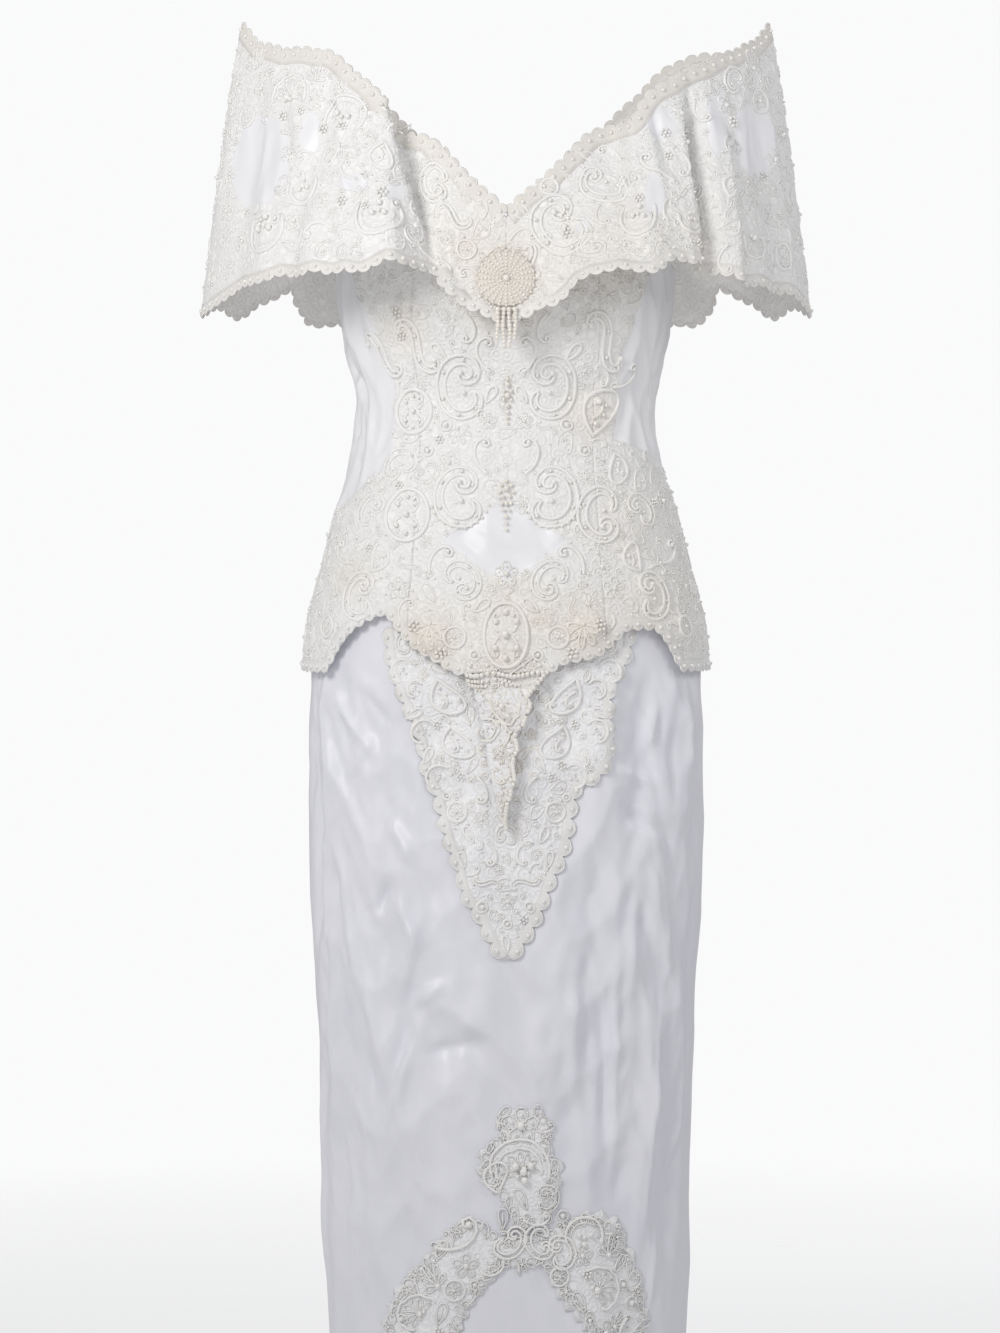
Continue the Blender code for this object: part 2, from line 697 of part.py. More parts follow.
def make_appliques():
    on_skirt = (SKIRT_SECTIONS, skirt_point)
    on_bodice = (BODICE_SECTIONS, bodice_point)
    seat, thick = APPLIQUE_SEAT, APPLIQUE_WALL
    strip("skirt_v_lace", V_LACE, on_skirt, V_LACE_GRID, seat, 0, thick, 0, lace)
    strip(
        "basque_point", BASQUE_POINT, on_skirt, POINT_GRID,
        POINT_SEAT, POINT_LEAN, LACE_WALL, POINT_CROWN, champagne_lace,
    )
    strip("skirt_arch_flower", ARCH_FLOWER, on_skirt, FLOWER_GRID, seat, 0, thick, FLOWER_CROWN, lace)
    strip("skirt_arch_lace", ARCH_LACE, on_skirt, ARCH_GRID, seat, 0, thick, ARCH_CROWN, lace)
    lift = LACE_RISE + DROP_SEAT
    strip("pearl_drop_upper", DROP_UPPER, on_bodice, DROP_GRID, lift, 0, DROP_WALL, DROP_CROWN, pearl)
    strip("pearl_drop_lower", DROP_LOWER, on_bodice, DROP_GRID, lift, 0, DROP_WALL, DROP_CROWN, pearl)


def make_pearl_fan():
    """A domed disc of pearl ribs, seated on the collar's centre, with its strands below."""
    surface = collar_surface(collar_rows(COLLAR_RIGHT_FRONT), [], 1)
    top, low = surface(0, 1), surface(0, 0)
    slope = math.atan2(top.y - low.y, top.z - low.z)
    seat = surface(0, (FAN_HEIGHT - low.z) / (top.z - low.z))

    fan = bmesh.new()
    spokes = 2 * FAN_RIBS

    def spoke_point(k, radius, depth):
        angle = math.tau * k / spokes
        return fan.verts.new(Vector((radius * math.sin(angle), -depth, radius * math.cos(angle))) * MM)

    rings = []
    for radius_share, depth_share in FAN_RINGS:
        line = []
        for k in range(spokes):
            groove = k % 2 == 1
            radius = FAN_RADIUS * radius_share * (FAN_GROOVE_RADIUS if groove else 1.0)
            depth = FAN_THICKNESS * depth_share * (FAN_GROOVE_DEPTH if groove else 1.0)
            line.append(spoke_point(k, radius, depth))
        rings.append(line)
    rings.append([spoke_point(k, FAN_RADIUS * FAN_BACK_RADIUS, 0.0) for k in range(spokes)])
    crown = fan.verts.new(Vector((0, -FAN_THICKNESS * FAN_CROWN, 0)) * MM)
    base = fan.verts.new(Vector((0, 0, 0)))
    for k in range(spokes):
        following = (k + 1) % spokes
        fan.faces.new((crown, rings[0][following], rings[0][k]))
        for near, far in zip(rings, rings[1:]):
            fan.faces.new((near[k], near[following], far[following], far[k]))
        fan.faces.new((base, rings[-1][k], rings[-1][following]))
    bmesh.ops.recalc_face_normals(fan, faces=fan.faces)
    place = Vector((0, seat.y - FAN_SEAT, seat.z)) * MM
    keep("pearl_fan", fan, pearl, place, (-slope, 0, 0))

    tassel = bmesh.new()
    half_head = TASSEL_PITCH * (TASSEL_STRANDS - 1) / 2 + TASSEL_STRAND_WIDTH / 2
    outline = [(-half_head, 0.0), (half_head, 0.0)]
    for k in reversed(range(TASSEL_STRANDS)):
        middle = TASSEL_PITCH * (k - (TASSEL_STRANDS - 1) / 2)
        length = TASSEL_SIDE_LENGTH if k in (0, TASSEL_STRANDS - 1) else TASSEL_LENGTH
        outline.append((middle + TASSEL_STRAND_WIDTH / 2, -TASSEL_HEAD))
        outline.append((middle + TASSEL_STRAND_WIDTH / 3, -length))
        outline.append((middle - TASSEL_STRAND_WIDTH / 3, -length))
        outline.append((middle - TASSEL_STRAND_WIDTH / 2, -TASSEL_HEAD))
    front = [tassel.verts.new(Vector((x, -TASSEL_THICKNESS, z)) * MM) for x, z in outline]
    tassel.faces.new(front)
    made = bmesh.ops.extrude_face_region(tassel, geom=tassel.faces[:])
    moved = [item for item in made["geom"] if isinstance(item, bmesh.types.BMVert)]
    bmesh.ops.translate(tassel, verts=moved, vec=Vector((0, TASSEL_THICKNESS, 0)) * MM)
    bmesh.ops.recalc_face_normals(tassel, faces=tassel.faces)
    depth = seat.y - TASSEL_SEAT - FAN_RADIUS * math.tan(slope)
    below = Vector((0, depth, seat.z - FAN_RADIUS)) * MM
    keep("pearl_tassel", tassel, pearl, below)


def make_buttons():
    for number in range(BUTTON_COUNT):
        height = BUTTON_TOP - number * BUTTON_PITCH
        turn = CENTRE_BACK - turn_of(BODICE_SECTIONS, BUTTON_FROM_SEAM, height)
        button = bmesh.new()
        bmesh.ops.create_uvsphere(button, u_segments=8, v_segments=4, radius=BUTTON_RADIUS * MM)
        squash = Vector((1, 1, BUTTON_HALF_DEPTH / BUTTON_RADIUS))
        bmesh.ops.scale(button, vec=squash, verts=button.verts)
        rise = bodice_lace(turn, height) + BUTTON_SEAT + BUTTON_HALF_DEPTH
        place = bodice_point(turn, height, rise) * MM
        keep(f"back_button_{number + 1:02d}", button, satin, place, (math.radians(90), 0, 0))


for old in list(bpy.data.objects):
    bpy.data.objects.remove(old, do_unlink=True)

dress = bpy.data.collections.new("wedding_dress")
bpy.context.scene.collection.children.link(dress)

satin = material("ivory_satin", (0.86, 0.86, 0.89), 0.32)
satin_lace = material("beaded_lace_on_satin", (0.87, 0.86, 0.84), 0.45)
collar_satin_lace = material("collar_lace_on_satin", (0.88, 0.87, 0.86), 0.42)
lace = material("corded_lace", (0.87, 0.85, 0.83), 0.6)
champagne_lace = material("champagne_beadwork", (0.80, 0.76, 0.68), 0.4)
pearl = material("champagne_pearl", (0.80, 0.75, 0.66), 0.25)

make_bodice()
make_skirt()
make_collar()
make_appliques()
make_pearl_fan()
make_buttons()
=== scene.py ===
"""The finish of a satin wedding gown with corded, beaded lace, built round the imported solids.

The tables are in millimetres and degrees, as on the solids. A turn is an angle round the body: 0 at
centre front, positive towards +X, 180 at centre back. Left and right in names are the viewer's.
"""

import math
from collections import namedtuple

import bpy
import numpy as np
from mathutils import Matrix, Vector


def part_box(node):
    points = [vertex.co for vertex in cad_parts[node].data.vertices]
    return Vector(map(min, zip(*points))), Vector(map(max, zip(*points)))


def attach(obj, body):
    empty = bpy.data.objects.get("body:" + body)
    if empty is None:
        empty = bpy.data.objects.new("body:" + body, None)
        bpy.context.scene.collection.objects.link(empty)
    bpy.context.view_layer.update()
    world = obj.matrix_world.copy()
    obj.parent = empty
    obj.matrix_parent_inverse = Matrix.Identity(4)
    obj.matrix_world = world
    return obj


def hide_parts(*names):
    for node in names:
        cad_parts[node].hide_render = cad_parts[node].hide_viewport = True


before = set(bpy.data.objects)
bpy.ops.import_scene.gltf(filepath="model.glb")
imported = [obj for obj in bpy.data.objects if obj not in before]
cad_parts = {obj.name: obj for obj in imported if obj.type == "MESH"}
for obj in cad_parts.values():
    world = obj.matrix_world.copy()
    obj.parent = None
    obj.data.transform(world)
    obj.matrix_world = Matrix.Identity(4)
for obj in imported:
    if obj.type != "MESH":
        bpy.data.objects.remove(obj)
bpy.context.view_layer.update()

MM = 0.001
SEED = 7
random = np.random.default_rng(SEED)
shuffled = np.random.default_rng(SEED + 1)

# The garment's form, as on the solids
LACE_WALL = 2.0
APPLIQUE_WALL = 1.5
APPLIQUE_SEAT = 0.6
LACE_RISE = 0.8
ROUNDNESS = 2.3
BUST_X = 70.0
BUST_Z = 125.0
BUST_WIDTH = 45.0
BUST_HEIGHT = 50.0
BUST_RISE = 7.0
ARC_RADIUS = 150.0
BODY_REACH = 150.0
SKIRT_TOP = -130.0
HEM_HEIGHT = -1040.0
BODICE_TOP_MIDDLE = 200.0
BODICE_HEM_MIDDLE = -240.0
POINT_HALF_TURN = 8.3
POINT_FADE = 3.0
CENTRE_BACK = 180.0
SIDE_SEAM = 90.0
POINT_SEAT = 3.2
POINT_LEAN = 5.2
POINT_CROWN = 2.5
DIAMOND_HEIGHT = -130.0
DIAMOND_HALF_WIDTH = 50.0
DIAMOND_HALF_HEIGHT = 34.0
LACE_FADE = 10.0
BACK_LACE_BAND = 60.0
COLLAR_FLARE = 1.2
COLLAR_SPREAD = 0.85
COLLAR_SEAT = 0.8
COLLAR_BLEND = 4.0
COLLAR_LENGTH = 500.0
COLLAR_DROP = 200.0
SCALLOP_DROP = 3.5
SCALLOP_RISE = 2.0
SCALLOP_FADE = 6
FRONT_SCALLOPS = 9
BACK_SCALLOPS = 8
HEM_SCALLOP = 3.0

# Walls, seams and the steps that normals are measured over
CLOTH_WALL = 2.6
COLLAR_WALL = 1.2
SEAM_GAP = 0.02
COLLAR_SEAM_SHARE = 0.0005
NORMAL_TURN, NORMAL_HEIGHT = 1.0, 4.0
NORMAL_SHARE, NORMAL_UP = 0.008, 0.04
LACE_TURN, LACE_HEIGHT = 0.6, 1.5
LACE_SHARE, LACE_UP = 0.004, 0.015

# Finer creases, dents and facets of the satin
SKIRT_CREASE_GAIN = 3.3
BODICE_CREASE_GAIN = 2.0
CREASE_TOP = -235.0
CREASE_FADE = 30.0
SKIRT_DENT = 42.0
SKIRT_DENT_RISE = 0.8
BODICE_DENT = 30.0
BODICE_DENT_RISE = 0.5
FACET_STRETCH = 1.7
FACET_SHIFT = 0.42
SKIRT_FACET = 46.0
SMALL_FACET = 22.0
BODICE_FACET = 30.0
SKIRT_FACET_RISE = 13.0
SMALL_FACET_RISE = 4.2
FACET_LEVEL = 0.42
BODICE_FACET_RISE = 7.5
BODICE_FACET_SINK = 3.1
COLLAR_FACET_RISE = 5.0
COLLAR_FACET_SINK = 2.1
SEAM_CALM = 0.85
SEAM_CALM_TURN = 24.0
CALM_HEM = -880.0
CALM_HEM_FADE = 240.0

# Cords, beads and trims
CORD_SINK = 0.2
CORD_END = 0.6
BOLD_CORD = 2.4
LARGE_MOTIF = 12.5
SMALL_MOTIF = 4.0
BEAD_FLOWER_LIMIT = 5.5
LOOSE_BEAD = 2.5
SMALLEST_BEAD = 0.75
PEARL_RADIUS = 1.5
BEAD_LIFT = 0.7
FILL_OVERLAP = 0.4
FILL_MARGIN = 6.0
TRIM_SAMPLES = 8
TRIM_DIP = -0.6
TRIM_OVER = 0.5
TRIM_UNDER = 0.35
POINT_CURL = 8.0
LOBE_DEPTH = 0.2
LOOP_INSET = 0.05
ARCH_LOOP_PITCH = 8.0
HEM_MOTIF_HEIGHT = 26.0
HEM_MOTIF_SIZE = 12

# Cord sections, as shares of half the cord's width
RIDGE = [(1.0, 0.0), (0.0, 1.2), (-1.0, 0.0)]
HALF_ROUND = [(1.0, 0.0), (0.62, 1.15), (-0.62, 1.15), (-1.0, 0.0)]
ROUND = [(0.59, 0.19), (0.95, 1.31), (0.0, 2.0), (-0.95, 1.31), (-0.59, 0.19)]

SATIN_WHITE = (0.835, 0.838, 0.885)
SATIN_SHADE = (0.80, 0.803, 0.86)
BODICE_WHITE = (0.89, 0.888, 0.905)
BODICE_SHADE = (0.865, 0.864, 0.885)
LACE_GROUND = (0.85, 0.842, 0.833)
WARM_GROUND = (0.75, 0.70, 0.635)
THREAD_WHITE = (0.92, 0.914, 0.90)
THREAD_WARM = (0.89, 0.845, 0.77)
PEARL_WHITE = (0.93, 0.92, 0.90)
PEARL_WARM = (0.90, 0.85, 0.775)
TRIM_WARM = (0.74, 0.69, 0.62)
NET_GROUND = (0.87, 0.868, 0.885)
NET_THREAD = (0.94, 0.937, 0.95)

CAMERA_PLACE = (-0.00555, -3.2, -0.2419)
CAMERA_LENS = 93.4
CAMERA_SENSOR = 36.0
WORLD_SEEN = (0.955, 0.957, 0.963, 1)
WORLD_COLOUR = (0.97, 0.975, 1.0, 1)
WORLD_LIGHT = 0.38
FLOOR_RADIUS = 2.6


def table(kind, *rows):
    """Named rows from plain ones."""
    return [kind(*row) for row in rows]


Lamp = namedtuple("Lamp", "name place target width height spread energy colour")
LIGHTS = table(
    Lamp,
    ("key", (-0.95, -1.45, 0.7), (0, 0, 0.0), 0.7, 0.7, 180, 14.8, (1.0, 0.99, 0.975)),
    ("fill", (1.1, -1.2, 0.7), (0.1, 0, 0.0), 0.7, 0.7, 180, 4.4, (0.97, 0.98, 1.0)),
    ("strip", (-1.3, -1.6, -0.5), (0, 0, -0.5), 0.3, 1.6, 180, 1.0, (1.0, 1.0, 1.0)),
    ("under", (0.2, -1.9, -1.1), (0, 0, 0.25), 1.2, 1.2, 60, 0.95, (1.0, 0.985, 0.97)),
    ("right_strip", (1.9, 0.2, 0.75), (0.1, 0, 0.2), 0.9, 0.9, 180, 3.8, (1.0, 1.0, 1.0)),
    ("left_strip", (-2.2, 0.7, -0.1), (0, 0, -0.3), 1.4, 1.4, 180, 4.0, (1.0, 1.0, 1.0)),
    ("back", (0.8, 2.6, 1.6), (0, 0, -0.1), 1.8, 1.8, 180, 40.0, (1.0, 1.0, 1.0)),
)

Section = namedtuple("Section", "height half_width front back")
BODICE_SECTIONS = table(
    Section,
    (-262, 189.5, 131.0, 137.0),
    (-240, 187.0, 128.5, 135.5),
    (-200, 182.5, 124.5, 132.0),
    (-155, 171.0, 119.0, 126.0),
    (-100, 157.0, 111.0, 111.5),
    (-58, 144.0, 103.0, 96.0),
    (0, 136.5, 98.0, 86.0),
    (39, 145.0, 106.0, 89.0),
    (67, 151.0, 114.0, 91.0),
    (94, 154.5, 121.0, 92.0),
    (130, 155.0, 125.0, 91.0),
    (165, 152.0, 120.5, 89.0),
    (220, 150.0, 109.0, 88.0),
    (275, 147.0, 97.0, 86.0),
)
SKIRT_SECTIONS = table(
    Section,
    (-1045, 158.0, 98.0, 96.0),
    (-849, 164.0, 103.0, 100.0),
    (-752, 168.0, 106.0, 104.0),
    (-641, 171.5, 109.0, 108.0),
    (-530, 175.5, 112.0, 114.0),
    (-447, 180.5, 115.0, 121.0),
    (-364, 182.5, 117.5, 127.0),
    (-252, 180.5, 118.5, 129.0),
    (-200, 174.8, 117.3, 125.0),
    (-160, 167.4, 114.9, 120.0),
    (-130, 160.8, 111.7, 115.2),
)

EdgePoint = namedtuple("EdgePoint", "turn height")
BODICE_TOP_RIGHT = table(
    EdgePoint,
    (0, 150), (6, 167), (13, 186), (25, 215), (35, 225), (52, 198), (72, 134), (90, 124), (108, 140),
    (128, 200), (146, 236), (160, 208), (180, 181),
)
BODICE_TOP_LEFT = [EdgePoint(-point.turn, point.height) for point in BODICE_TOP_RIGHT[:0:-1]]
BODICE_TOP = BODICE_TOP_LEFT + BODICE_TOP_RIGHT
BASQUE_HEM = table(
    EdgePoint,
    (-180, -238), (-150, -222), (-125, -214), (-90, -240), (-59, -244), (-52, -222), (-44, -204),
    (-33, -193), (-30, -202), (-24, -220), (-17, -234), (-8, -247.7), (8, -247.7), (12, -238), (22, -231),
    (28, -218), (34, -206), (43, -206), (50, -222), (56, -243), (90, -240), (125, -214), (150, -222),
    (180, -238),
)
PRINCESS_SEAM = table(
    EdgePoint,
    (25, -248), (27, -150), (32, 0), (29, 80), (26, 240),
)

LaceEdge = namedtuple("LaceEdge", "height left right")
BODICE_LACE = table(
    LaceEdge,
    (-110, -200, 200), (-96, -154, 200), (-80, -137, 170), (-47, -105, 134), (-36, -105, 103),
    (17, -106, 105), (57, -120, 115), (94, -138, 128), (130, -150, 140),
)

Mound = namedtuple("Mound", "x height radius rise")
BODICE_MOUNDS = table(
    Mound,
    (-19, 46, 14, 1.6), (21, 46, 14, 1.6), (-43, 12, 18, 2.0), (44, 12, 18, 2.0), (-92, -12, 17, 2.2),
    (76, -14, 20, 2.4), (-22, -52, 15, 1.8), (20, -52, 15, 1.8), (-49, -84, 20, 2.2), (47, -84, 20, 2.2),
    (-100, -112, 24, 2.0), (108, -118, 26, 2.4), (0, -165, 15, 2.6), (0, -217, 27, 3.4),
    (-64, -218, 17, 6.5), (76, -208, 19, 6.0), (-108, -176, 22, 2.4), (122, -178, 22, 2.6),
    (-150, -205, 24, 2.6), (152, -210, 24, 2.6),
)

Fold = namedtuple("Fold", "turn_high height_high turn_low height_low width rise")
SKIRT_FOLDS = table(
    Fold,
    (-22, -420, -38, -660, 15, 4.0), (-46, -330, -33, -520, 16, -3.5), (-72, -262, -50, -620, 14, -4.0),
    (-58, -262, -62, -430, 12, 3.0), (-38, -255, -52, -380, 12, -3.0), (28, -372, 44, -420, 12, 5.0),
    (22, -440, 24, -690, 13, -3.0), (31, -470, 33, -720, 13, 3.0), (44, -460, 40, -725, 16, -3.5),
    (56, -262, 50, -400, 14, -4.0), (68, -480, 62, -920, 13, 3.5), (-64, -680, -70, -1000, 16, 3.0),
    (112, -300, 134, -560, 18, 4.0), (-118, -330, -140, -610, 18, 3.5), (150, -420, 146, -900, 18, -3.5),
    (-155, -360, -150, -820, 18, -3.5), (100, -620, 104, -980, 18, -3.0),
    (-104, -560, -100, -960, 18, -3.0),
)
BODICE_FOLDS = table(
    Fold,
    (-78, 60, -70, -20, 12, -2.0), (-66, -10, -82, -60, 10, -2.0), (74, 70, 66, -30, 12, -2.2),
    (62, -20, 84, -70, 10, 1.8), (120, 10, 150, -30, 12, -2.0), (-124, 5, -152, -25, 12, -2.0),
    (128, -40, 156, -70, 12, -1.8), (-130, -45, -150, -80, 12, -1.8),
)

# Finer creases, which the solids don't have
SKIRT_CREASES = table(
    Fold,
    (40, -250, 38, -420, 17, -2.3), (20, -262, 24, -400, 12, 1.2), (50, -256, 51, -400, 8, 1.4),
    (-60, -262, -34, -330, 5, 1.3), (-64, -270, -50, -352, 6, -1.4), (-44, -258, -30, -300, 5, -1.1),
    (-36, -300, -52, -350, 6, 1.2), (-20, -440, -31, -560, 6, 1.5), (-30, -430, -40, -470, 5, -1.3),
    (-14, -520, -26, -550, 5, 1.2), (-26, -545, -34, -640, 6, -1.4), (-40, -440, -36, -480, 5, 1.2),
    (-47, -470, -42, -560, 6, -1.2), (-58, -420, -66, -640, 6, 1.5), (-68, -330, -74, -520, 6, -1.3),
    (-50, -640, -54, -840, 7, 1.2), (-30, -700, -24, -860, 7, -1.0), (26, -330, 48, -352, 5, 1.3),
    (30, -366, 52, -398, 5, -1.5), (48, -264, 40, -330, 6, 1.4), (60, -262, 66, -360, 6, 1.3),
    (38, -420, 36, -560, 6, 1.2), (17, -505, 18, -640, 6, 1.3), (27, -520, 29, -700, 6, -1.2),
    (50, -440, 56, -520, 6, 1.1), (58, -520, 52, -700, 6, -1.3), (72, -400, 70, -640, 6, -1.4),
    (44, -640, 40, -800, 7, 1.1), (-10, -560, -6, -600, 6, -0.9), (6, -540, 10, -620, 7, 0.9),
    (-78, -560, -82, -860, 7, 1.1), (80, -700, 78, -960, 7, 1.2), (106, -270, 118, -360, 6, 1.4),
    (124, -262, 136, -330, 6, -1.3), (-112, -262, -124, -350, 6, 1.4), (-134, -266, -142, -352, 6, -1.2),
    (-160, -270, -168, -400, 7, 1.2), (158, -300, 168, -430, 7, 1.2), (128, -560, 124, -760, 7, 1.2),
    (-130, -600, -124, -800, 7, 1.2), (166, -600, 168, -860, 7, -1.1), (52.8, -510, 42, -800, 3.5, 1.2),
    (71, -590, 51, -738, 3.5, 1.1), (52, -725, 47, -850, 3.5, 0.9), (27, -470, 30, -730, 8, -1.3),
    (31.5, -480, 31, -720, 4, 1.1), (18.8, -460, 17, -600, 7, 1.2), (-58, -400, -30, -660, 6, 1.4),
    (-34, -370, -22, -425, 5, 1.3), (-31, -440, -21, -500, 6, 1.4), (-17, -535, -2, -580, 7, 1.3),
    (-26, -575, -34, -655, 5, 1.3), (-2, -575, -24, -590, 6, -1.2),
)
BODICE_CREASES = table(
    Fold,
    (-84, 92, -72, 48, 6, 1.0), (-86, 40, -66, 12, 5, -1.2), (-84, 4, -70, 22, 5, 1.1),
    (-88, -24, -68, -42, 5, 1.0), (-74, 100, -66, 60, 5, -0.9), (84, 96, 74, 40, 6, 1.1),
    (70, 30, 86, 6, 5, -1.2), (66, 8, 84, -24, 5, 1.1), (64, -44, 80, -58, 5, -1.0),
    (-10, -112, 6, -140, 4, 1.0), (2, -108, 12, -146, 4, -1.0), (-14, -122, -4, -148, 4, -0.9),
    (10, -118, 16, -132, 4, 0.9), (104, 60, 124, 20, 6, 1.1), (140, 90, 152, 30, 7, -1.1),
    (-106, 70, -122, 26, 6, 1.1), (-138, 96, -150, 34, 7, -1.0), (110, -10, 134, -34, 5, 1.1),
    (-108, -14, -130, -40, 5, 1.1), (160, 20, 172, -60, 6, 0.9), (-162, 24, -172, -52, 6, 0.9),
)

SEWN = None
CollarRow = namedtuple("CollarRow", "share x_top y_top z_top x_low y_low z_low")
COLLAR_LEFT_FRONT = table(
    CollarRow,
    (0.00, 0, SEWN, 157, 0, -145, 65),
    (0.16, 42, SEWN, 195, 34, -145, 79),
    (0.26, 69, SEWN, 224, 52, -147, 93),
    (0.34, 94, SEWN, 232, 68, -150, 108),
    (0.43, 109, -116, 257, 98, -171, 117),
    (0.53, 134, -104, 281, 135, -168, 108),
    (0.65, 166, -84, 307, 164, -152, 109),
    (0.77, 200, -58, 313, 202, -122, 109),
    (0.89, 228, -30, 324, 243, -74, 103),
)
COLLAR_RIGHT_FRONT = table(
    CollarRow,
    (0.00, 0, SEWN, 157, 0, -145, 65),
    (0.17, 47, SEWN, 198, 46, -149, 84),
    (0.28, 74, SEWN, 227, 78, -164, 108),
    (0.34, 93, SEWN, 237, 103, -168, 109),
    (0.40, 112, -112, 239, 127, -164, 109),
    (0.47, 127, -106, 263, 152, -148, 121),
    (0.60, 163, -90, 287, 186, -124, 115),
    (0.72, 194, -66, 305, 212, -108, 104),
    (0.83, 220, -40, 319, 246, -70, 102),
    (0.92, 235, -20, 331, 268, -38, 97),
)
COLLAR_BACK = table(
    CollarRow,
    (1.00, 245, 0, 347, 282, 0, 84),
    (1.08, 240, 20, 330, 271, 34, 97),
    (1.17, 222, 40, 326, 255, 58, 90),
    (1.26, 195, 56, 328, 232, 78, 104),
    (1.37, 163, 69, 322, 211, 95, 119),
    (1.53, 122, 77, 288, 187, 114, 92),
    (1.64, 94, SEWN, 262, 157, 123, 88),
    (1.84, 47, SEWN, 214, 80, 126, 90),
    (2.00, 0, SEWN, 187, 0, 125, 86),
)

CollarFold = namedtuple("CollarFold", "share_top share_low width depth")
COLLAR_LEFT_FOLDS = table(
    CollarFold,
    (0.335, 0.34, 0.040, 7), (0.41, 0.43, 0.030, -4), (0.60, 0.76, 0.040, 7), (0.70, 0.68, 0.035, -4),
    (0.86, 0.90, 0.035, 5), (1.30, 1.36, 0.050, 8), (1.52, 1.56, 0.050, -7), (1.74, 1.76, 0.060, 7),
)
COLLAR_RIGHT_FOLDS = table(
    CollarFold,
    (0.44, 0.40, 0.030, -4), (0.60, 0.60, 0.032, 20), (0.69, 0.69, 0.030, -7), (0.84, 0.85, 0.035, 7),
    (1.34, 1.38, 0.050, 9), (1.56, 1.60, 0.050, -7), (1.76, 1.80, 0.060, 8),
)

Crease = namedtuple("Crease", "share_high up_high share_low up_low width rise")
COLLAR_CREASES = {
    -1: table(
        Crease,
        (0.435, 1.15, 0.350, -0.05, 7, 5.5), (0.400, 1.10, 0.322, 0.05, 7, -3.0),
        (0.300, 0.80, 0.240, 0.10, 8, -1.6), (0.260, 0.90, 0.215, 0.20, 7, 1.6),
        (0.790, 0.90, 0.735, 0.45, 5, -2.4), (0.755, 0.95, 0.700, 0.40, 6, 1.8),
        (0.630, 0.98, 0.615, 0.55, 6, -2.2), (0.600, 0.80, 0.555, 0.30, 7, 1.6),
        (0.830, 0.60, 0.815, -0.05, 7, 2.0), (0.880, 0.75, 0.905, 0.10, 8, -2.2),
        (0.520, 0.50, 0.500, -0.05, 7, -1.6), (0.480, 0.90, 0.470, 0.20, 6, 1.6),
        (0.950, 0.80, 0.965, 0.20, 8, 1.6), (0.700, 0.30, 0.720, -0.05, 7, 1.8),
        (1.12, 0.90, 1.10, 0.20, 8, -2.0), (1.22, 0.80, 1.20, 0.00, 8, 2.0),
        (1.42, 0.80, 1.44, 0.05, 8, -2.2), (1.60, 0.90, 1.64, 0.10, 8, 2.0),
        (1.82, 0.80, 1.86, 0.10, 7, 1.6),
    ),
    1: table(
        Crease,
        (0.605, 1.10, 0.600, -0.15, 7, -7.0), (0.555, 1.00, 0.560, -0.10, 8, 3.5),
        (0.650, 1.05, 0.655, 0.00, 7, 3.5), (0.710, 0.95, 0.720, 0.10, 6, -2.2),
        (0.760, 0.85, 0.765, 0.30, 6, 1.8), (0.800, 0.80, 0.790, 0.20, 6, -1.6),
        (0.470, 1.00, 0.500, 0.45, 7, -2.8), (0.440, 0.95, 0.452, 0.40, 7, 2.4),
        (0.300, 0.90, 0.340, 0.20, 8, 1.4), (0.220, 0.75, 0.240, 0.15, 8, -1.4),
        (0.380, 0.70, 0.400, 0.00, 7, 1.6), (0.870, 0.85, 0.860, 0.00, 8, 1.8),
        (0.930, 0.75, 0.935, 0.05, 7, -1.8), (0.510, 0.35, 0.520, -0.10, 7, 1.8),
        (1.12, 0.90, 1.12, 0.20, 8, -2.0), (1.24, 0.80, 1.22, 0.00, 8, 2.2),
        (1.44, 0.80, 1.46, 0.05, 8, -2.0), (1.62, 0.90, 1.66, 0.10, 8, 2.0),
        (1.84, 0.80, 1.86, 0.10, 7, -1.6),
    ),
}

COLLAR_MOUNDS = table(
    Mound,
    (0.21, 0.50, 0.06, 1.2), (0.33, 0.30, 0.06, 1.4), (0.50, 0.22, 0.07, 1.6), (0.56, 0.82, 0.06, 1.2),
    (0.74, 0.25, 0.07, 1.6), (0.80, 0.80, 0.05, 1.2), (0.92, 0.20, 0.05, 1.4), (1.20, 0.22, 0.07, 1.5),
    (1.45, 0.30, 0.07, 1.6), (1.70, 0.28, 0.07, 1.5), (1.88, 0.62, 0.06, 1.2),
)

Rung = namedtuple("Rung", "x_left z_left x_right z_right")
V_LACE = table(
    Rung,
    (-106, -207, 112, -207), (-104, -235, 108, -232), (-92, -268, 92, -268), (-82, -292, 91, -292),
    (-76, -312, 92, -314), (-72, -334, 82, -338), (-64, -356, 63, -352), (-58, -376, 59, -374),
    (-50, -402, 54, -400), (-42, -424, 42, -430), (-36, -446, 34, -452), (-24, -466, 26, -472),
    (-14, -486, 17, -486), (-4, -503, 5, -503),
)
BASQUE_POINT = table(
    Rung,
    (-34, -248.2, 34, -248.2), (-30, -262, 26, -262), (-24, -288, 18, -280), (-18, -318, 11, -310),
    (-12, -344, 8, -338), (-5, -372, 5, -366), (-2, -386, 3, -384),
)
ARCH_FLOWER = table(
    Rung,
    (4, -636, 24, -634), (-6, -644, 34, -646), (-4, -662, 38, -660), (-20, -676, 36, -672),
    (-21, -694, 46, -690), (-8, -712, 44, -708), (6, -730, 40, -728), (8, -744, 36, -744),
)
ARCH_LACE = table(
    Rung,
    (-110, -868, -66, -876), (-110, -846, -50, -856), (-103, -822, -44, -836), (-90, -796, -36, -817),
    (-68, -772, -24, -800), (-52, -752, -8, -782), (-33, -738, -3, -775), (-12, -750, 2, -778),
    (8, -756, 10, -778), (21, -752, 20, -776), (34, -750, 32, -774), (52, -744, 36, -778),
    (72, -734, 44, -794), (95, -742, 56, -812), (108, -766, 70, -828), (119, -798, 76, -842),
    (124, -826, 84, -862), (124, -852, 94, -878),
)

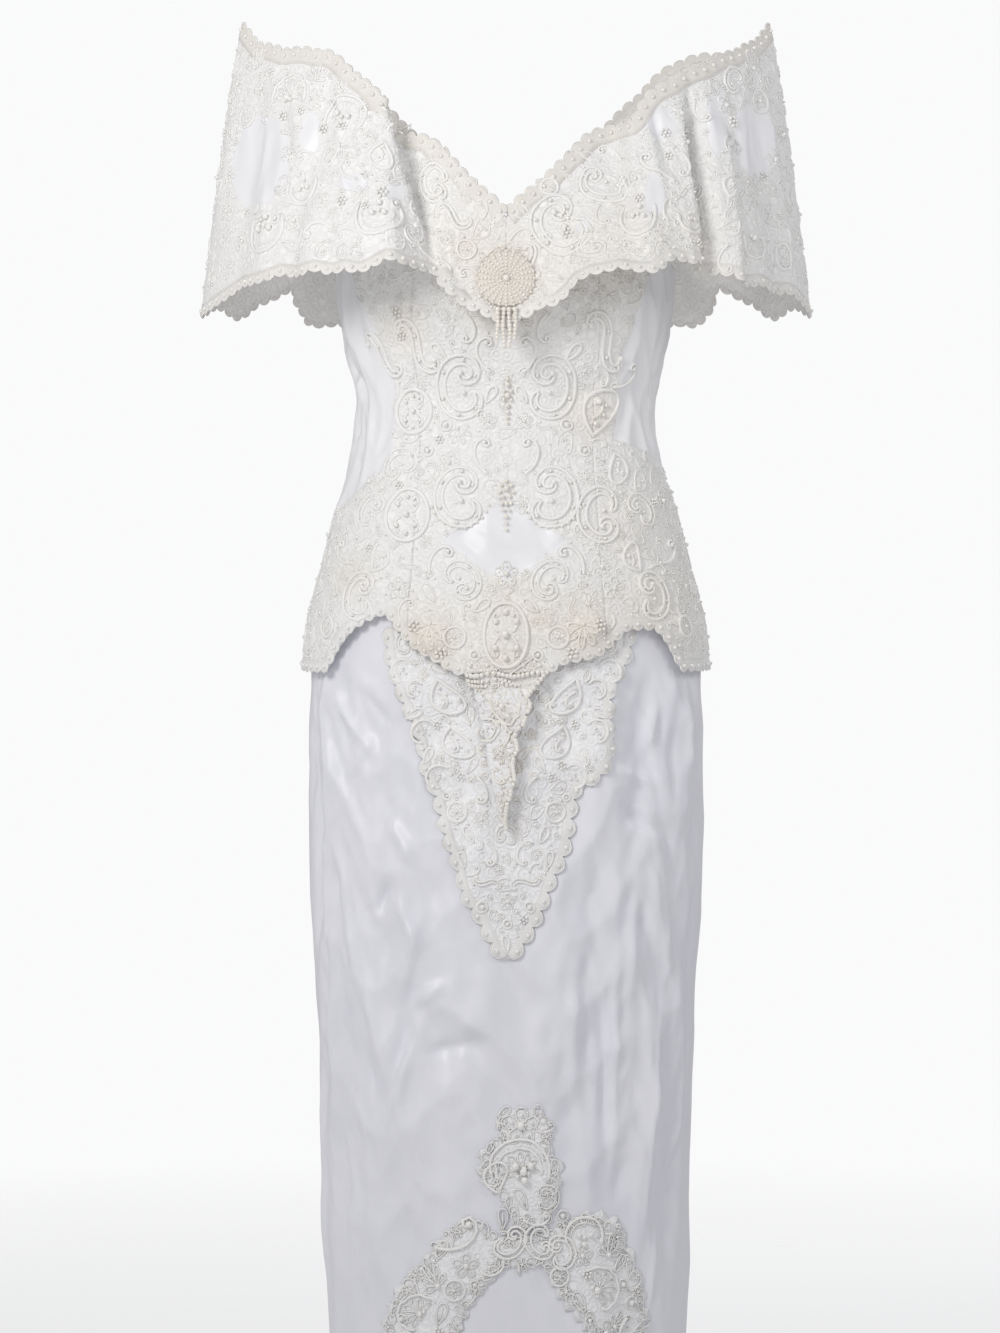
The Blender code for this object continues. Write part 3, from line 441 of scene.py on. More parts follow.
# Places on the collar where the satin shows between the lace, seen from the front
BarePatch = namedtuple("BarePatch", "x z half_width half_height front")
BARE_PATCHES = table(
    BarePatch,
    (-224, 217, 30, 44, True), (-136, 186, 14, 9, True), (-176, 236, 9, 20, True), (226, 236, 22, 36, True),
    (190, 250, 10, 34, True), (138, 243, 15, 15, True), (-98, 178, 10, 8, True), (70, 148, 8, 8, True),
    (132, 176, 9, 20, True), (-205, 215, 36, 40, False), (205, 215, 36, 40, False),
    (-110, 172, 24, 20, False), (110, 172, 24, 20, False),
)

# Warm, champagne beadwork gathers here, seen from the front. The broad zones on the viewer's right, near the
# foot of the collar and down the side to the hip, are painted shade: a darker, warmer beige where the light
# falls less
Zone = namedtuple("Zone", "x z radius amount")
WARM_AND_SHADED_ZONES = table(
    Zone,
    (0, 106, 40, 1.0), (-30, 130, 36, 0.7), (78, -16, 26, 0.75), (-70, -218, 34, 0.95),
    (70, -206, 34, 0.95), (0, -180, 26, 0.7), (0, -232, 34, 0.7), (30, -200, 30, 0.8), (-30, -205, 24, 0.5),
    (-140, -160, 22, 0.45), (130, -190, 50, 0.55), (110, -120, 50, 0.4), (0, -310, 50, 0.8),
    (-92, 62, 22, 0.6), (90, 120, 60, 0.45), (150, 130, 60, 0.35), (-20, 180, 40, 0.4), (120, 10, 40, 0.3),
)

CollarMotif = namedtuple("CollarMotif", "kind x z size tilt flip")
COLLAR_MOTIFS = {
    -1: table(
        CollarMotif,
        ("shell_motif", -196, 274, 20, 0, 1), ("bead_flower", -202, 255, 5.5, 0, 1),
        ("wheel", -236, 262, 10, 0, 1), ("palmette", -228, 316, 12, 10, 1), ("lobe", -217, 152, 24, 0, 1),
        ("bead_flower", -222, 160, 6.5, 0, 1), ("ring", -206, 159, 5.5, 0, 1),
        ("bead_flower", -236, 172, 4.5, 0, 1), ("lobe", -180, 186, 17, 10, 1),
        ("hook", -184, 194, 9, 20, 1), ("lobe", -146, 250, 22, 160, 1),
        ("bead_flower", -164, 240, 5.5, 0, 1), ("bead_flower", -146, 240, 4.8, 0, 1),
        ("bead_flower", -126, 258, 4.8, 0, 1), ("lobe", -112, 158, 22, 0, 1),
        ("bead_flower", -146, 170, 5.5, 0, 1), ("bead_flower", -124, 166, 4.8, 0, 1),
        ("bead_flower", -110, 178, 6, 0, 1), ("ring", -98, 166, 5.5, 0, 1),
        ("paisley", -112, 214, 14, 160, -1), ("c_scroll", -64, 190, 16, 200, 1),
        ("bead_flower", -76, 194, 4.8, 0, 1), ("s_scroll", -48, 158, 14, 20, 1),
        ("c_scroll", -80, 140, 12, 90, -1), ("paisley", -158, 214, 12, 20, 1),
        ("hook", -168, 146, 13, 120, 1), ("wheel", -36, 128, 9, 0, 1), ("palmette", -170, 292, 10, -10, 1),
    ),
    1: table(
        CollarMotif,
        ("c_scroll", 48, 150, 26, 20, -1), ("bead_flower", 53, 158, 5.5, 0, 1),
        ("bead_flower", 54, 143, 5.5, 0, 1), ("ring", 36, 140, 4.5, 0, 1),
        ("c_scroll", 84, 188, 20, 60, -1), ("bead_flower", 102, 190, 6.5, 0, 1),
        ("lobe", 117, 157, 20, 0, 1), ("bead_flower", 117, 174, 5, 0, 1), ("hook", 134, 206, 14, 40, -1),
        ("bead_flower", 142, 236, 5, 0, 1), ("lobe", 164, 156, 14, 0, 1), ("paisley", 202, 190, 12, -10, 1),
        ("bead_flower", 204, 252, 6, 0, 1), ("palmette", 228, 194, 12, 0, 1),
        ("palmette", 238, 170, 12, -20, 1), ("shell_motif", 222, 142, 17, 180, 1),
        ("wheel", 232, 274, 11, 0, 1), ("palmette", 226, 312, 12, -10, 1),
        ("s_scroll", 22, 118, 13, -20, 1), ("c_scroll", 74, 130, 12, 250, 1),
        ("medallion", 252, 130, 12, 0, 1), ("c_scroll", 206, 292, 12, 150, 1),
        ("paisley", 158, 196, 11, 10, -1), ("hook", 196, 120, 12, 200, 1), ("wheel", 36, 188, 8, 0, 1),
    ),
}

FrontMotif = namedtuple("FrontMotif", "kind x z size tilt")
# Each is set on both sides of the centre line, mirrored
BODICE_PAIRS = table(
    FrontMotif,
    ("hook", 19, 38, 15, 15), ("c_scroll", 41, 9, 24, 10), ("hook", 21, -53, 15, 15),
    ("c_scroll", 43, -90, 24, 10), ("ring", 54, -25, 6.5, 0), ("leaf", 14, 2, 9, 30),
    ("flower", 16, -22, 8, 0), ("ring", 70, -48, 6, 0), ("leaf", 60, 40, 10, -40),
    ("hook", 34, 60, 12, 200), ("c_scroll", 39, -165, 16, 160), ("hook", 60, -146, 14, 60),
    ("palmette", 67, -214, 15, 170), ("wheel", 46, -216, 10, 0), ("bead_flower", 58, -230, 6, 0),
    ("bead_flower", 82, -206, 6, 0), ("c_scroll", 132, -178, 19, 20), ("wheel", 160, -206, 10, 0),
    ("hook", 146, -140, 14, -30), ("paisley", 112, -147, 13, 40), ("flower", 96, -172, 11, 0),
    ("s_scroll", 108, -206, 13, 60), ("leaf", 138, -216, 10, 120), ("palmette", 170, -170, 10, -20),
    ("c_scroll", 122, -100, 14, 60), ("leaf", 22, -188, 9, 50), ("ring", 28, -232, 5.5, 0),
)

BODICE_SINGLES = table(
    FrontMotif,
    ("medallion", -1, -214, 29, 0), ("flower", 0, -160, 13, 0), ("medallion", -83, -12, 20, 0),
    ("paisley", 80, -12, 23, -10), ("medallion", -89, -106, 24, 0), ("c_scroll", 84, -106, 22, 190),
    ("s_scroll", -112, 40, 20, 10), ("s_scroll", -80, 46, 22, 0), ("s_scroll", 90, 50, 24, 0),
    ("hook", 108, 20, 14, -20), ("bead_flower", -98, 76, 6, 0), ("bead_flower", -94, 56, 5, 0),
    ("paisley", 102, -62, 14, 200), ("c_scroll", -96, -60, 15, 130),
)

# A row of flowers hides where the point leaves the basque
JOINT_FLOWERS = (-32, -17, 15, 29)
JOINT_HEIGHT = -241.0

# Set on both sides of the centre line, too
V_MOTIFS = table(
    FrontMotif,
    ("paisley", 58, -269, 17, 170), ("paisley", 48, -310, 16, 170), ("wheel", 44, -372, 9.5, 0),
    ("lobe", 92, -246, 11, 120), ("lobe", 80, -262, 9, 120), ("lobe", 80, -300, 11, 120),
    ("lobe", 61, -340, 11, 110), ("leaf", 70, -322, 8, 30), ("hook", 22, -352, 11, 190),
    ("flower", 72, -232, 9, 0), ("leaf", 84, -284, 8, 60), ("leaf", 33, -392, 9, -30),
    ("hook", 14, -410, 9, 200), ("s_scroll", 18, -434, 10, 70), ("leaf", 38, -414, 8, -10),
    ("ring", 22, -456, 6, 0), ("c_scroll", 90, -220, 9, 40), ("bead_flower", 62, -294, 4.5, 0),
    ("bead_flower", 40, -340, 4.5, 0), ("ring", 54, -358, 4, 0), ("leaf", 30, -330, 8, 30),
)
V_MIDDLE = table(
    FrontMotif,
    ("flower", 1, -452, 8, 0), ("ring", 1, -472, 5, 0), ("leaf", -1, -490, 8, 5),
    ("c_scroll", 0, -392, 9, 90),
)
ARCH_MOTIFS = table(
    FrontMotif,
    ("flower", 14, -653, 18, 0), ("bead_flower", 14, -653, 5, 0), ("lobe", 15, -690, 27, 180),
    ("shell_motif", 14, -692, 20, 8), ("paisley", -12, -700, 14, 20), ("c_scroll", 37, -717, 11, 20),
    ("ring", 51, -733, 6, 0), ("leaf", 14, -718, 11, 30), ("leaf", -3, -736, 10, 0),
    ("c_scroll", 5, -757, -13, 150), ("c_scroll", 30, -757, 13, 210), ("hook", 28, -736, 11, -60),
    ("flower", 18, -738, 8, 0), ("hook", -44, -752, 20, -35), ("leaf", -58, -765, 11, -30),
    ("flower", -36, -778, 12, 0), ("lobe", -14, -776, 11, 60), ("palmette", -66, -790, 14, 40),
    ("wheel", -46, -800, 10, 0), ("shell_motif", -78, -822, 16, 60), ("leaf", -58, -822, 11, -20),
    ("hook", -94, -852, 15, -30), ("flower", -68, -854, 12, 0), ("ring", -92, -828, 6, 0),
    ("ring", -28, -795, 5, 0), ("leaf", -84, -800, 10, 40), ("bead_flower", -60, -838, 5, 0),
    ("lobe", 70, -752, 18, 180), ("c_scroll", 50, -766, 13, 30), ("flower", 68, -770, 10, 0),
    ("palmette", 92, -762, 13, -10), ("leaf", 102, -779, 10, -40), ("wheel", 48, -788, 9, 0),
    ("shell_motif", 82, -800, 20, -60), ("ring", 104, -798, 6, 0), ("ring", 112, -815, 7, 0),
    ("leaf", 66, -812, 11, 25), ("hook", 108, -846, -15, 30), ("flower", 88, -840, 12, 0),
    ("palmette", 102, -832, 11, -60), ("bead_flower", 72, -786, 5, 0), ("ring", 74, -828, 5, 0),
)

PointMotif = namedtuple("PointMotif", "kind x z size tilt warm width")
POINT_MOTIFS = table(
    PointMotif,
    ("leaf", -26, -256, 9, 60, 0.6, 2.4), ("flower", -8, -254, 9, 0, 0.6, 2.4),
    ("leaf", 8, -256, 9, 30, 0.6, 2.4), ("flower", 22, -255, 8, 10, 0.6, 2.4),
    ("shell_motif", -2, -276, 17, 180, 0.8, 2.6),
    ("flower", -3, -260, 9, 0, 0.7, 2.6), ("lobe", -18, -300, 10, 90, 0.4, 2.4),
    ("hook", -4, -302, 11, 40, 0.6, 2.4), ("palmette", -4, -322, 10, 180, 0.6, 2.2),
    ("hook", -8, -340, 9, 220, 0.6, 2.2), ("leaf", -4, -360, 8, 10, 0.6, 2.2),
)
ARCH_LOOPS = (
    ("eyelet", 5.0), ("leaf", 8.0), ("eyelet", 4.2), ("hook", 7.5), ("flower", 6.5), ("eyelet", 5.5),
    ("leaf", 6.5),
)
FILL_KINDS = ("c_scroll", "flower", "hook", "paisley", "leaf", "palmette", "s_scroll", "bead_flower")
V_FILL_KINDS = ("hook", "leaf", "paisley", "flower", "c_scroll", "bead_flower")
COLLAR_FILL_SIZES = (10.5, 8.4, 6.6, 4.8, 3.4, 1.9)
BODICE_FILL_SIZES = (10.5, 8.2, 6.4, 4.8, 3.4, 1.9)
V_FILL_SIZES = (9.0, 7.5, 6.0, 4.8, 3.6, 2.0)

FAN_SPOKES = 24
FAN_PAD_SIDES = 48
FanRing = namedtuple("FanRing", "reach radius")
FAN_RINGS = table(
    FanRing, (5.2, 1.2), (8.2, 1.3), (11.4, 1.35), (14.8, 1.5), (18.2, 1.6), (21.6, 1.6), (24.6, 1.5),
)
PadRing = namedtuple("PadRing", "radius lift")
FAN_PAD = table(PadRing, (13.0, 1.5), (24.0, 0.8), (25.6, -0.2), (24.6, -1.2))
Pearl = namedtuple("Pearl", "x z radius")
PEARL_DROPS = {
    "pearl_drop_upper": table(
        Pearl,
        (0, 16, 1.9), (0, 11, 2.4), (-3.2, 5, 1.8), (3.2, 5, 1.8), (0, 1, 2.8), (-3.4, -3, 1.7),
        (3.4, -3, 1.7), (0, -8, 2.3), (0, -14, 2.0), (0, -19, 1.7), (0, -24, 1.5),
    ),
    "pearl_drop_lower": table(
        Pearl,
        (0, -76, 2.0), (-4.6, -80, 1.8), (4.6, -80, 1.8), (0, -83, 2.8), (-6.0, -86, 1.8), (6.0, -86, 1.8),
        (-3, -90, 1.8), (3, -90, 1.8), (-4, -96, 1.8), (4, -96, 1.8), (0, -96, 2.2), (-2.6, -102, 1.7),
        (2.6, -102, 1.7), (0, -108, 2.1), (0, -114, 1.8), (0, -120, 1.6),
    ),
}
BUTTONS = 11


def column(rows, name):
    return np.array([getattr(row, name) for row in rows], float)


def smooth(keys, values, at):
    """A smooth curve through a table's values that never overshoots them."""
    at = np.clip(at, keys[0], keys[-1])
    i = np.clip(np.searchsorted(keys, at, side="right") - 1, 0, len(keys) - 2)
    slopes = np.diff(values) / np.diff(keys)
    before, after = slopes[:-1], slopes[1:]
    level = before * after <= 0
    inner = np.where(level, 0.0, 2 * before * after / np.where(level, 1.0, before + after))
    tangents = np.concatenate([slopes[:1], inner, slopes[-1:]])
    step = keys[i + 1] - keys[i]
    s = (at - keys[i]) / step
    start = values[i] + step * s * (1 - s) ** 2 * tangents[i] - step * s * s * (1 - s) * tangents[i + 1]
    return start + (values[i + 1] - values[i]) * s * s * (3 - 2 * s)


def read(rows, key, name, at):
    return smooth(column(rows, key), column(rows, name), at)


def edge_height(rows, turn):
    return read(rows, "turn", "height", turn)


def ease(value):
    value = np.clip(value, 0.0, 1.0)
    return value * value * (3 - 2 * value)


def power(value, exponent):
    return np.copysign(np.abs(value) ** exponent, value)


def body_point(sections, turn, height):
    """Points of the garment's plain form, in millimetres."""
    turn, height = np.broadcast_arrays(np.asarray(turn, float), np.asarray(height, float))
    half_width = read(sections, "height", "half_width", height)
    s, c = np.sin(np.radians(turn)), np.cos(np.radians(turn))
    x = half_width * power(s, 2 / ROUNDNESS)
    front, back = read(sections, "height", "front", height), read(sections, "height", "back", height)
    depth = np.where(c > 0, front, back)
    bust = np.exp(-(((np.abs(x) - BUST_X) / BUST_WIDTH) ** 2) - ((height - BUST_Z) / BUST_HEIGHT) ** 2)
    y = -depth * power(c, 2 / ROUNDNESS) - BUST_RISE * bust * np.sqrt(np.maximum(c, 0))
    return np.stack([x, y, height], -1)


def turn_of(sections, x, height):
    """The turn of the front point that has this x and height."""
    share = np.minimum(np.abs(x) / read(sections, "height", "half_width", height), 1.0)
    return np.copysign(np.degrees(np.arcsin(share ** (ROUNDNESS / 2))), x)


def ridge(a, b, start, end, width, rise):
    """A soft ridge or trough from start to end, fading at both, over a surface measured in millimetres."""
    run_a, run_b = end[0] - start[0], end[1] - start[1]
    length = math.hypot(run_a, run_b)
    share = ((a - start[0]) * run_a + (b - start[1]) * run_b) / length**2
    off = ((a - start[0]) * run_b - (b - start[1]) * run_a) / length
    return rise * ease(2.5 * share) * ease(2.5 * (1 - share)) * np.exp(-((off / width) ** 2))


def fold_rise(folds, turn, height):
    """How far the soft ridges and troughs lift the cloth."""
    rise = np.zeros(np.broadcast(turn, height).shape)
    along = np.radians(turn) * ARC_RADIUS
    for fold in folds:
        start = math.radians(fold.turn_high) * ARC_RADIUS, fold.height_high
        end = math.radians(fold.turn_low) * ARC_RADIUS, fold.height_low
        rise = rise + ridge(along, height, start, end, fold.width, fold.rise)
    return rise


def unit(vectors):
    return vectors / np.maximum(np.linalg.norm(vectors, axis=-1, keepdims=True), 1e-12)


def outward(surface, first, second, first_step, second_step):
    across = surface(first + first_step, second) - surface(first - first_step, second)
    up = surface(first, second + second_step) - surface(first, second - second_step)
    return unit(np.cross(across, up))


def local_axes(normals):
    """Right and up along the cloth, as seen by someone facing it."""
    up = unit(np.array([0, 0, 1.0]) - normals * normals[..., 2:])
    return np.cross(up, normals), up


def on_form(sections, folds, turn, height, out):
    """Points at a distance out from the plain form, with its large folds."""
    def plain(a, b):
        return body_point(sections, a, b)

    rise = np.asarray(out + fold_rise(folds, turn, height))
    return plain(turn, height) + outward(plain, turn, height, NORMAL_TURN, NORMAL_HEIGHT) * rise[..., None]


def bodice_cover(turn, height):
    """1 where lace covers the satin of the bodice, 0 where the satin is bare."""
    x = body_point(BODICE_SECTIONS, turn, height)[..., 0]
    inside = np.minimum(
        x - read(BODICE_LACE, "height", "left", height),
        read(BODICE_LACE, "height", "right", height) - x,
    )
    diamond = np.abs(x) / DIAMOND_HALF_WIDTH + np.abs(height - DIAMOND_HEIGHT) / DIAMOND_HALF_HEIGHT - 1
    over_hem = height - edge_height(BASQUE_HEM, turn)
    front = ease(inside / LACE_FADE) * ease(diamond * 4)
    return np.where(np.abs(turn) > SIDE_SEAM, ease((BACK_LACE_BAND - over_hem) / LACE_FADE), front)


def bodice_lace(turn, height):
    """How far the lace and its thick flowers lift the bodice."""
    x = body_point(BODICE_SECTIONS, turn, height)[..., 0]
    rise = LACE_RISE * bodice_cover(turn, height)
    for mound in BODICE_MOUNDS:
        off = np.hypot(x - mound.x, height - mound.height) / mound.radius
        rise = rise + np.where(np.abs(turn) < SIDE_SEAM, mound.rise * ease(1.2 * (1 - off)), 0)
    return rise


def dents(turn, height, scale):
    """Shallow unevenness of hung satin."""
    a, b = np.radians(turn) * ARC_RADIUS / scale, height / scale
    wave = np.sin(a * 1.9 + 1.3 * np.sin(b * 0.55 + 0.4)) * np.sin(b * 0.62 + 1.7 * np.sin(a * 0.8))
    return wave + 0.6 * np.sin(a * 3.1 - b * 0.9 + 2 * np.sin(b * 0.31)) * np.sin(b * 1.1 + a * 0.7)


def facets(turn, height, spacing, centres):
    """Crisp shallow facets of crumpled satin, taller than wide: cones that meet at sharp edges."""
    a, b = np.broadcast_arrays(np.radians(turn) * ARC_RADIUS / spacing, height / (spacing * FACET_STRETCH))
    b = b + 0.35 * np.sin(a * 2.3) + 0.2 * a
    nearest = np.full(a.shape, 9.0)
    for x, y in centres:
        nearest = np.minimum(nearest, np.hypot(a - x, b - y))
    return np.minimum(nearest, 1.0)


def facet_centres(low, high, spacing):
    """One centre in each cell of a loose grid round the whole dress."""
    reach = math.pi * ARC_RADIUS / spacing
    columns = np.arange(-math.ceil(reach), math.ceil(reach) + 1)
    tall = spacing * FACET_STRETCH
    rows = np.arange(math.floor(low / tall), math.ceil(high / tall) + 1)
    cells = [(x, y) for x in columns for y in rows]
    return [(x + shuffled.uniform(-FACET_SHIFT, FACET_SHIFT), y + shuffled.uniform(-FACET_SHIFT, FACET_SHIFT))
            for x, y in cells]


SKIRT_FACETS = facet_centres(HEM_HEIGHT, SKIRT_TOP, SKIRT_FACET)
BODICE_FACETS = facet_centres(BODICE_HEM_MIDDLE, BODICE_TOP_MIDDLE, BODICE_FACET)
SMALL_FACETS = facet_centres(HEM_HEIGHT, SKIRT_TOP, SMALL_FACET)


def bodice_rise(turn, height):
    """Lace, creases and the facets of the bare satin of the bodice."""
    creases = BODICE_CREASE_GAIN * fold_rise(BODICE_CREASES, turn, height)
    dent = BODICE_DENT_RISE * dents(turn, height, BODICE_DENT)
    facet = BODICE_FACET_RISE * facets(turn, height, BODICE_FACET, BODICE_FACETS)
    satin = 1 - bodice_cover(turn, height)
    return bodice_lace(turn, height) + creases + satin * (dent + facet - BODICE_FACET_SINK)


def bodice_outer(turn, height):
    return on_form(BODICE_SECTIONS, BODICE_FOLDS, turn, height, bodice_rise(turn, height))


def bodice_inner(turn, height):
    return on_form(BODICE_SECTIONS, BODICE_FOLDS, turn, height, bodice_rise(turn, height) - CLOTH_WALL)


def skirt_rise(turn, height):
    """Creases, facets and dents of the skirt: none under the basque, few at the side seams and the hem."""
    at_side = np.exp(-(((np.abs(turn) - SIDE_SEAM) / SEAM_CALM_TURN) ** 2))
    amount = (0.3 + 0.7 * ease((height - CALM_HEM) / CALM_HEM_FADE)) * (1 - SEAM_CALM * at_side)
    crumple = SKIRT_FACET_RISE * (facets(turn, height, SKIRT_FACET, SKIRT_FACETS) - FACET_LEVEL)
    crumple = crumple + SMALL_FACET_RISE * (facets(turn, height, SMALL_FACET, SMALL_FACETS) - FACET_LEVEL)
    creases = SKIRT_CREASE_GAIN * fold_rise(SKIRT_CREASES, turn, height)
    rise = creases + SKIRT_DENT_RISE * dents(turn, height, SKIRT_DENT) + amount * crumple
    return rise * ease((CREASE_TOP - height) / CREASE_FADE)


def skirt_outer(turn, height):
    return on_form(SKIRT_SECTIONS, SKIRT_FOLDS, turn, height, skirt_rise(turn, height))


def skirt_inner(turn, height):
    return on_form(SKIRT_SECTIONS, SKIRT_FOLDS, turn, height, skirt_rise(turn, height) - CLOTH_WALL)


def between_seams(start, end, across):
    """Turns across a panel, which stops half a seam gap short of each seam."""
    gap = math.degrees(SEAM_GAP / 2 / ARC_RADIUS)
    return start + gap + (end - start - 2 * gap) * across


def scallop(share, count):
    return np.abs(np.sin(math.pi * count * share))


class Carrier:
    """A cloth surface of two parameters, with the steps that its normals are measured over."""

    def __init__(self, point, step_a=LACE_TURN, step_b=LACE_HEIGHT, sign=1):
        self.point = point
        self.step_a, self.step_b = step_a * sign, step_b

    def normal(self, a, b):
        return outward(self.point, a, b, self.step_a, self.step_b)

    def frame(self, a, b):
        """What a millimetre to the viewer's right and a millimetre up add to a and b, as 2 by 2 matrices."""
        along_a = (self.point(a + self.step_a, b) - self.point(a - self.step_a, b)) / (2 * self.step_a)
        along_b = (self.point(a, b + self.step_b) - self.point(a, b - self.step_b)) / (2 * self.step_b)
        normal = unit(np.cross(along_a, along_b) * math.copysign(1, self.step_a))
        right, up = local_axes(normal)
        metric = np.stack([
            np.stack([(along_a * along_a).sum(-1), (along_a * along_b).sum(-1)], -1),
            np.stack([(along_a * along_b).sum(-1), (along_b * along_b).sum(-1)], -1),
        ], -2)
        sides = np.stack([
            np.stack([(along_a * right).sum(-1), (along_a * up).sum(-1)], -1),
            np.stack([(along_b * right).sum(-1), (along_b * up).sum(-1)], -1),
        ], -2)
        return np.linalg.solve(metric, sides)


def collar_bare(points):
    """1 where the collar's satin is bare, 0 where lace covers it."""
    bare = np.zeros(points.shape[:-1])
    for patch in BARE_PATCHES:
        across = (points[..., 0] - patch.x) / patch.half_width
        up = (points[..., 2] - patch.z) / patch.half_height
        here = (points[..., 1] < 0) == patch.front
        bare = np.maximum(bare, np.where(here, ease(3.0 * (1.15 - np.hypot(across, up))), 0))
    return bare


class Collar:
    """One half of the collar. share runs from centre front over the shoulder point to centre back."""

    def __init__(self, side, front_rows, folds):
        self.side, self.folds = side, folds
        rows = []
        for row in front_rows + COLLAR_BACK:
            if row.y_top is SEWN:
                row = row._replace(y_top=float(self.sewn_depth(row.x_top, row.z_top, row.y_low)))
            rows.append(row)
        self.keys = column(rows, "share")
        self.values = {name: column(rows, name) for name in CollarRow._fields}

    def sewn_depth(self, x, height, facing):
        """The y at which the collar lies on the bodice, in front for a negative facing."""
        turn = turn_of(BODICE_SECTIONS, np.asarray(x, float), np.asarray(height, float))
        turn = np.where(np.asarray(facing) > 0, CENTRE_BACK - turn, turn)
        lift = LACE_WALL + COLLAR_SEAT + LACE_RISE
        return on_form(BODICE_SECTIONS, BODICE_FOLDS, turn, height, lift)[..., 1]

    def plain(self, share, up):
        """The collar with its large folds and scalloped edges, kept clear of the bodice."""
        share, up = np.broadcast_arrays(np.asarray(share, float), np.asarray(up, float))

        def at(name):
            return smooth(self.keys, self.values[name], share)

        down = 1 - up
        flare, spread = power(down, COLLAR_FLARE), power(down, COLLAR_SPREAD)
        x = at("x_top") + (at("x_low") - at("x_top")) * spread
        y = at("y_top") + (at("y_low") - at("y_top")) * flare
        z = at("z_top") + (at("z_low") - at("z_top")) * down
        inward = 0.0
        for fold in self.folds:
            middle = fold.share_low + (fold.share_top - fold.share_low) * up
            fade = ease(1.6 * down + 0.15)
            inward = inward + fold.depth * fade * np.exp(-(((share - middle) / fold.width) ** 2))
        keep_share = 1 - inward / np.hypot(x, y)
        x, y = x * keep_share, y * keep_share
        near = np.abs(x) < BODY_REACH
        on_body = np.abs(self.sewn_depth(np.where(near, x, 0), z, y))
        apart = np.abs(y) - on_body
        lifted = np.copysign((np.abs(y) + on_body + np.hypot(apart, COLLAR_BLEND)) / 2, y)
        y = np.where(near, lifted, y)
        wave = scallop(share, np.where(share <= 1, FRONT_SCALLOPS, BACK_SCALLOPS))
        z = z - SCALLOP_DROP * wave * np.maximum(down, 0) ** SCALLOP_FADE
        z = z + SCALLOP_RISE * wave * np.maximum(up, 0) ** SCALLOP_FADE
        return np.stack([self.side * x, y, z], -1)

    def face(self, share, up, out):
        """Points at a distance out from the plain collar, squared up at the centre seams."""
        normal = outward(self.plain, share, up, NORMAL_SHARE * self.side, NORMAL_UP)
        ends = (np.asarray(share) < 0.01) | (np.asarray(share) > 1.99)
        normal = unit(np.where(ends[..., None], normal * np.array([0, 1, 1]), normal))
        point = self.plain(share, up) + normal * np.asarray(out)[..., None]
        middle = (np.asarray(share) < 0.002) | (np.asarray(share) > 1.998)
        point[..., 0] = np.where(middle, self.side * SEAM_GAP / 2, point[..., 0])
        return point

    def outer(self, share, up):
        share, up = np.broadcast_arrays(np.asarray(share, float), np.asarray(up, float))
        rise = np.zeros(share.shape)
        for mound in COLLAR_MOUNDS:
            off = np.hypot(share - mound.x, (up - mound.height) * 0.5) / mound.radius
            rise = rise + mound.rise * ease(1.2 * (1 - off))
        return self.face(share, up, rise + self.creases(share, up) + self.crumple(share, up))

    def crumple(self, share, up):
        """Facets of the bare satin."""
        turn = np.degrees((share - 1) * COLLAR_LENGTH / ARC_RADIUS)
        facet = facets(turn, (up - 0.5) * COLLAR_DROP, BODICE_FACET, BODICE_FACETS)
        return collar_bare(self.plain(share, up)) * (COLLAR_FACET_RISE * facet - COLLAR_FACET_SINK)

    def creases(self, share, up):
        """Soft creases, none at the centre seams."""
        rise = 0.0
        along, height = share * COLLAR_LENGTH, up * COLLAR_DROP
        for crease in COLLAR_CREASES[self.side]:
            start = crease.share_high * COLLAR_LENGTH, crease.up_high * COLLAR_DROP
            end = crease.share_low * COLLAR_LENGTH, crease.up_low * COLLAR_DROP
            rise = rise + ridge(along, height, start, end, crease.width, crease.rise)
        return rise * (ease(share * 12) * ease((2 - share) * 12))

    def inner(self, share, up):
        share, up = np.broadcast_arrays(np.asarray(share, float), np.asarray(up, float))
        sunk = np.minimum(self.creases(share, up) + self.crumple(share, up), 0)
        return self.face(share, up, sunk - COLLAR_WALL)


def warmth(points):
    """How champagne the thread and beads are at these points, from 0 to 1, with the painted shade of the
    right-hand zones in it too.
    """
    warm = np.zeros(points.shape[:-1])
    for zone in WARM_AND_SHADED_ZONES:
        off = np.hypot(points[..., 0] - zone.x, points[..., 2] - zone.z) / zone.radius
        warm = np.maximum(warm, zone.amount * np.exp(-(off**2)))
    return np.where(points[..., 1] < 0, warm, 0.25)


def socket(shader, name, value):
    shader.inputs[name].default_value = value


